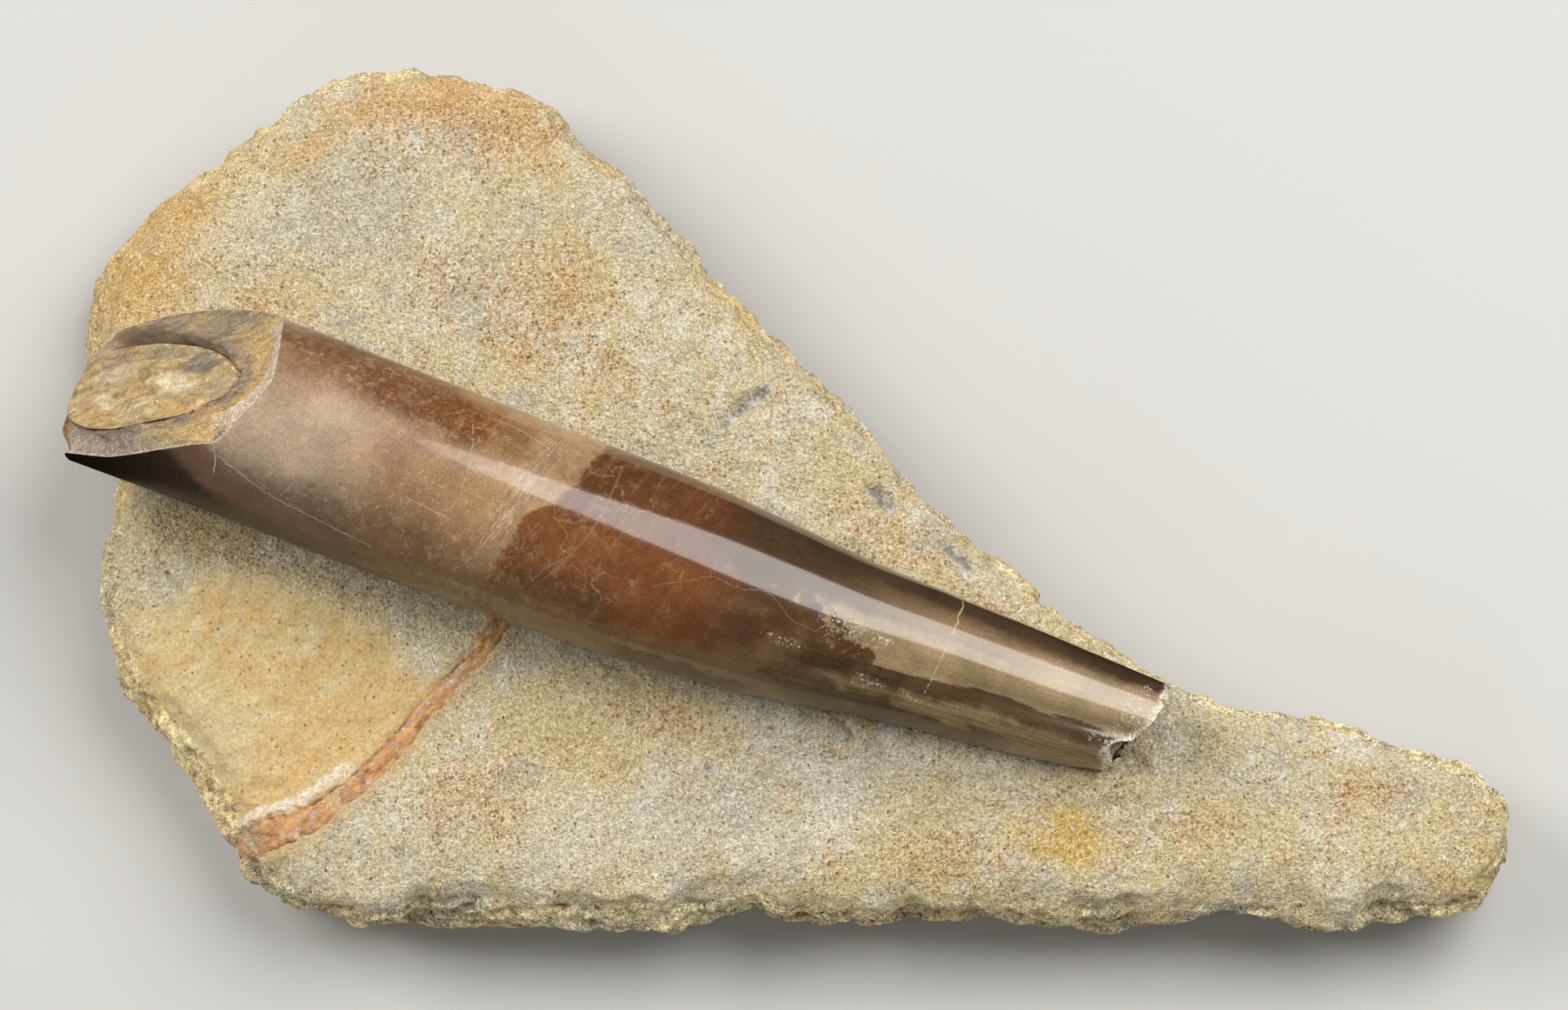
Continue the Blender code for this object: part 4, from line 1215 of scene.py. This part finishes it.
    # painted shade: the mauve darker near the fill, where the cleft's shadow falls, and scaled by its angle
    # round the break
    mauveTint = shaded(mauveTint, times(ramp(fillGap, 1, 4, 0.72, 1.2), ramp(turn, -86, -66, 1.35, 0.85)))
    wall = layered(
        wall,
        (mauveTint, mauve, 0.9),
        (calcite["rust"], band(turn, -150, -138, -106, -97), 0.85))
    wall = shaded(wall, ramp(fine, 0.3, 0.7, 0.62, 1.36))
    wall = layered(
        wall,
        (calcite["seamShade"], ramp(fillGap, 4, 1.5), band(turn, 50, 76, 126, 150), 0.55),
        (calcite["rimLine"], ramp(rimGap, 0.8, 0.15), band(turn, -112, -100, 10, 50), ramp(chips, 0.44, 0.54),
         0.75))
    # painted shade in the cleft between the wall and the fill, wider on the back side
    cleft = plus(0.15, times(band(turn, 74, 96, 132, 150), 1.7))
    wall = tinted(wall, calcite["cleft"], ramp(minus(fillGap, cleft), 0.5, -0.35), 0.7)
    tipWall = tinted(mix(ramp(chips, 0.42, 0.58), calcite["tipDark"], calcite["tipChalk"]), calcite["tipRim"],
                     ramp(rimGap, 1.6, 0.3), ramp(chips, 0.4, 0.5))
    wall = layered(
        wall,
        (tipWall, ramp(split(place)[0], 120, 121)),
        (mix(ramp(mottle, 0.4, 0.6), calcite["footDark"], calcite["footPale"]),
         ramp(calc("ABSOLUTE", turn), 148, 162), ramp(split(place)[0], 121, 120), 0.85))
    feedAll(shader, {"Base Color": mix(onSkin, wall, colour), "IOR": 1.5, "Specular IOR Level": 0.34})

    polish = mix(ramp(x, 56, 78), (0.46, 0.46, 0.46), (0.12, 0.12, 0.12))
    polish = tinted(polish, (0.22, 0.22, 0.22), ramp(x, 112, 140))
    polish = plus(split(polish)[0], swing(mottle, 0.06))
    polish = plus(polish, times(larger(scuffs, cracks), 0.4))
    glitter = ramp(chips, 0.4, 0.6, 0.35, 0.75)
    rough = plus(times(polish, onSkin), times(glitter, minus(1, onSkin)))
    feed(shader.inputs["Roughness"], rough)
    coat = plus(ramp(redEdge, 84.4, 85.6, 0.43, 0.54), ramp(nx, 104, 140, 0, 0.22))
    coat = times(onSkin, coat, ramp(a, -14, -7, 0.15, 1), ramp(na, 19, 13, 0.2, 1), notUnder)
    feedAll(shader, {"Coat Weight": coat, "Coat Roughness": 0.05, "Coat IOR": 1.5})
    facets = cells(place, 0.42)
    rugged = plus(times(slant, 1), plus(times(facets, 1.6), times(chips, 0.8)))
    bumped(shader, rugged, ramp(onSkin, 0, 1, 1, 0.012), 0.0006)
    return material


fillLook = {
    "low": (0.42, 0.275, 0.11), "high": (0.58, 0.43, 0.225), "line": (0.8, 0.69, 0.48),
    "vein": (0.26, 0.145, 0.06), "edge": (0.13, 0.075, 0.05),
    # patches of colour: middle, half size, colour, strength, softness of the edge
    "patches": (
        ((14.5, 6.2, -3.6), (5.4, 2.2, 5), (0.37, 0.285, 0.165), 0.8, 0.45),
        ((22, 5.4, 2.4), (3.8, 2.3, 3.6), (0.225, 0.185, 0.135), 0.9, 0.25),
        ((7.2, 2.6, -7.6), (3, 2.4, 3.6), (0.34, 0.225, 0.155), 0.8, 0.4),
        ((8.4, 0, -5), (4.2, 2.6, 4), (0.56, 0.42, 0.27), 0.85, 0.4),
        ((12, -1.6, -1.6), (3.4, 1.5, 3), (0.58, 0.4, 0.17), 0.8, 0.4),
        ((19.4, 0.2, 3), (5, 2.5, 4.4), (0.74, 0.61, 0.38), 1, 0.4),
        ((16.4, 2.9, -0.6), (3.2, 1.1, 3), (0.53, 0.35, 0.13), 0.75, 0.4),
        ((20.8, -4.4, 7), (5, 1.5, 4), (0.58, 0.38, 0.14), 0.85, 0.3),
        ((15.5, -4.6, 3), (2.8, 1.6, 2.6), (0.68, 0.53, 0.29), 0.8, 0.35),
        ((8.6, -5.6, -2.2), (2.8, 1.3, 2.6), (0.7, 0.57, 0.35), 0.9, 0.4),
        ((10, -8, 0.6), (4.5, 1.8, 3.6), (0.56, 0.36, 0.145), 0.85, 0.35),
        ((14, -7.4, 3.4), (2.6, 1.4, 2.6), (0.5, 0.385, 0.235), 0.8, 0.3),
        ((13.2, -5.2, 2.2), (2.6, 1.5, 2.6), (0.43, 0.315, 0.16), 0.75, 0.4),
        ((4.4, -6.4, -5), (2, 2.6, 2.6), (0.6, 0.43, 0.235), 0.8, 0.35),
        ((27, 1.6, 8), (3, 2.4, 3.6), (0.45, 0.345, 0.215), 0.75, 0.4),
        ((26, -4.2, 9), (4.2, 1.5, 3.2), (0.64, 0.375, 0.17), 0.85, 0.3),
    ),
}


def fillMaterial():
    material, shader = newMaterial("phragmocone_fill")
    place = guardPlace()
    warped = moved(place, grain(place, 0.3, 4, 0.65, colour=True), 5)
    mottle = grain(place, 0.35, 5, 0.65, 0.6)
    fine = grain(place, 1.6, 4, 0.7)
    colour = mix(ramp(mottle, 0.4, 0.6), fillLook["low"], fillLook["high"])
    for middle, size, tint, strength, brink in fillLook["patches"]:
        colour = tinted(colour, tint, area(warped, middle, size, 0, brink), strength)
    streaky = streaked(warped, 28, (5, 1.2, 3), 0.72, 5)
    colour = shaded(colour, ramp(streaky, 0.34, 0.66, 0.72, 1.24))
    colour = tinted(colour, fillLook["line"], ramp(streaky, 0.57, 0.62, 0, 0.45))
    veins = calc("ABSOLUTE", minus(grain(place, 0.22, 3, 0.6, 0.8), 0.5))
    colour = tinted(colour, fillLook["vein"], ramp(veins, 0.01, 0, 0, 0.55))
    share, across, _ = split(carried("edge"))
    # painted shade along the fill's edge where it meets the wall, towards its front and back
    colour = tinted(colour, fillLook["edge"], ramp(share, 0.955, 0.99),
                    larger(ramp(across, -5, -9, 0.2, 0.6), ramp(across, 5.5, 8, 0.2, 0.5)))
    colour = shaded(colour, ramp(fine, 0.3, 0.7, 0.84, 1.14))
    feedAll(shader, {"Base Color": colour, "Roughness": ramp(fine, 0.3, 0.7, 0.34, 0.62)})
    facets = cells(place, 0.36)
    height = plus(times(facets, 2.4), plus(times(mottle, 3), times(fine, 0.7)))
    bumped(shader, height, 1, 0.0006)
    return material


shellLook = {
    "dark": (0.37, 0.165, 0.06), "light": (0.6, 0.33, 0.125), "fleck": (0.44, 0.3, 0.225),
    "paleFleck": (0.66, 0.56, 0.42), "shade": (0.2, 0.095, 0.045), "pinkish": (0.66, 0.4, 0.21),
}


def shellMaterial():
    material, shader = newMaterial("stained_shell")
    place = objectPlace()
    layers = grain(mapped(place, (0, 0, 0), (0, 0, 43), (0.006, 0.0012, 0.002)), 1, 4, 0.65, 0.3)
    fine = grain(place, 1100, 3, 0.7)
    colour = mix(ramp(layers, 0.36, 0.64), shellLook["dark"], shellLook["light"])
    flecks = grain(place, 420, 4, 0.7)
    colour = mix(ramp(flecks, 0.62, 0.66, 0, 0.7),
                 mix(ramp(flecks, 0.52, 0.6, 0, 0.85), colour, shellLook["fleck"]), shellLook["paleFleck"])
    colour = layered(
        colour,
        (shellLook["shade"], ramp(grain(place, 300, 3, 0.7), 0.44, 0.34, 0, 0.8)),
        (shellLook["pinkish"], area(place, (-0.092, -0.061, 0.015), (0.007, 0.006, 0.1), 30, 0.5), 0.5))
    colour = shaded(colour, ramp(fine, 0.3, 0.7, 0.8, 1.15))
    feedAll(shader, {"Base Color": colour, "Roughness": ramp(fine, 0.35, 0.65, 0.3, 0.75)})
    bumped(shader, plus(times(layers, 1), times(fine, 0.7)), 1, 0.0005)
    return material


floor = {"size": 3, "colour": (0.5, 0.495, 0.48), "rough": 0.9}


def floorPiece():
    shape = bmesh.new()
    bmesh.ops.create_grid(shape, x_segments=1, y_segments=1, size=floor["size"])
    material, shader = newMaterial("floor")
    feedAll(shader, {"Base Color": floor["colour"], "Roughness": floor["rough"]})
    piece = makePiece("floor", shape, material)
    piece.visible_glossy = False


floorPiece()
guardPiece = buildGuard(calciteMaterial())
print("guard built")
fillPiece = buildFill(fillMaterial())
print("fill built")
slabPiece = buildSlab(stoneMaterial())
print("slab built")
shellPiece = buildShell(shellMaterial())
print("shell band built")

for piece, node, slotName in ((guardPiece, "guard", "polished_calcite"),
                              (fillPiece, "phragmocone", "phragmocone_fill"),
                              (slabPiece, "matrix_slab", "sandy_limestone"),
                              (shellPiece, "shell_band", "stained_shell")):
    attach(piece, "root")
    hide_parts(node)
    print(piece.name, len(piece.data.polygons), "faces")
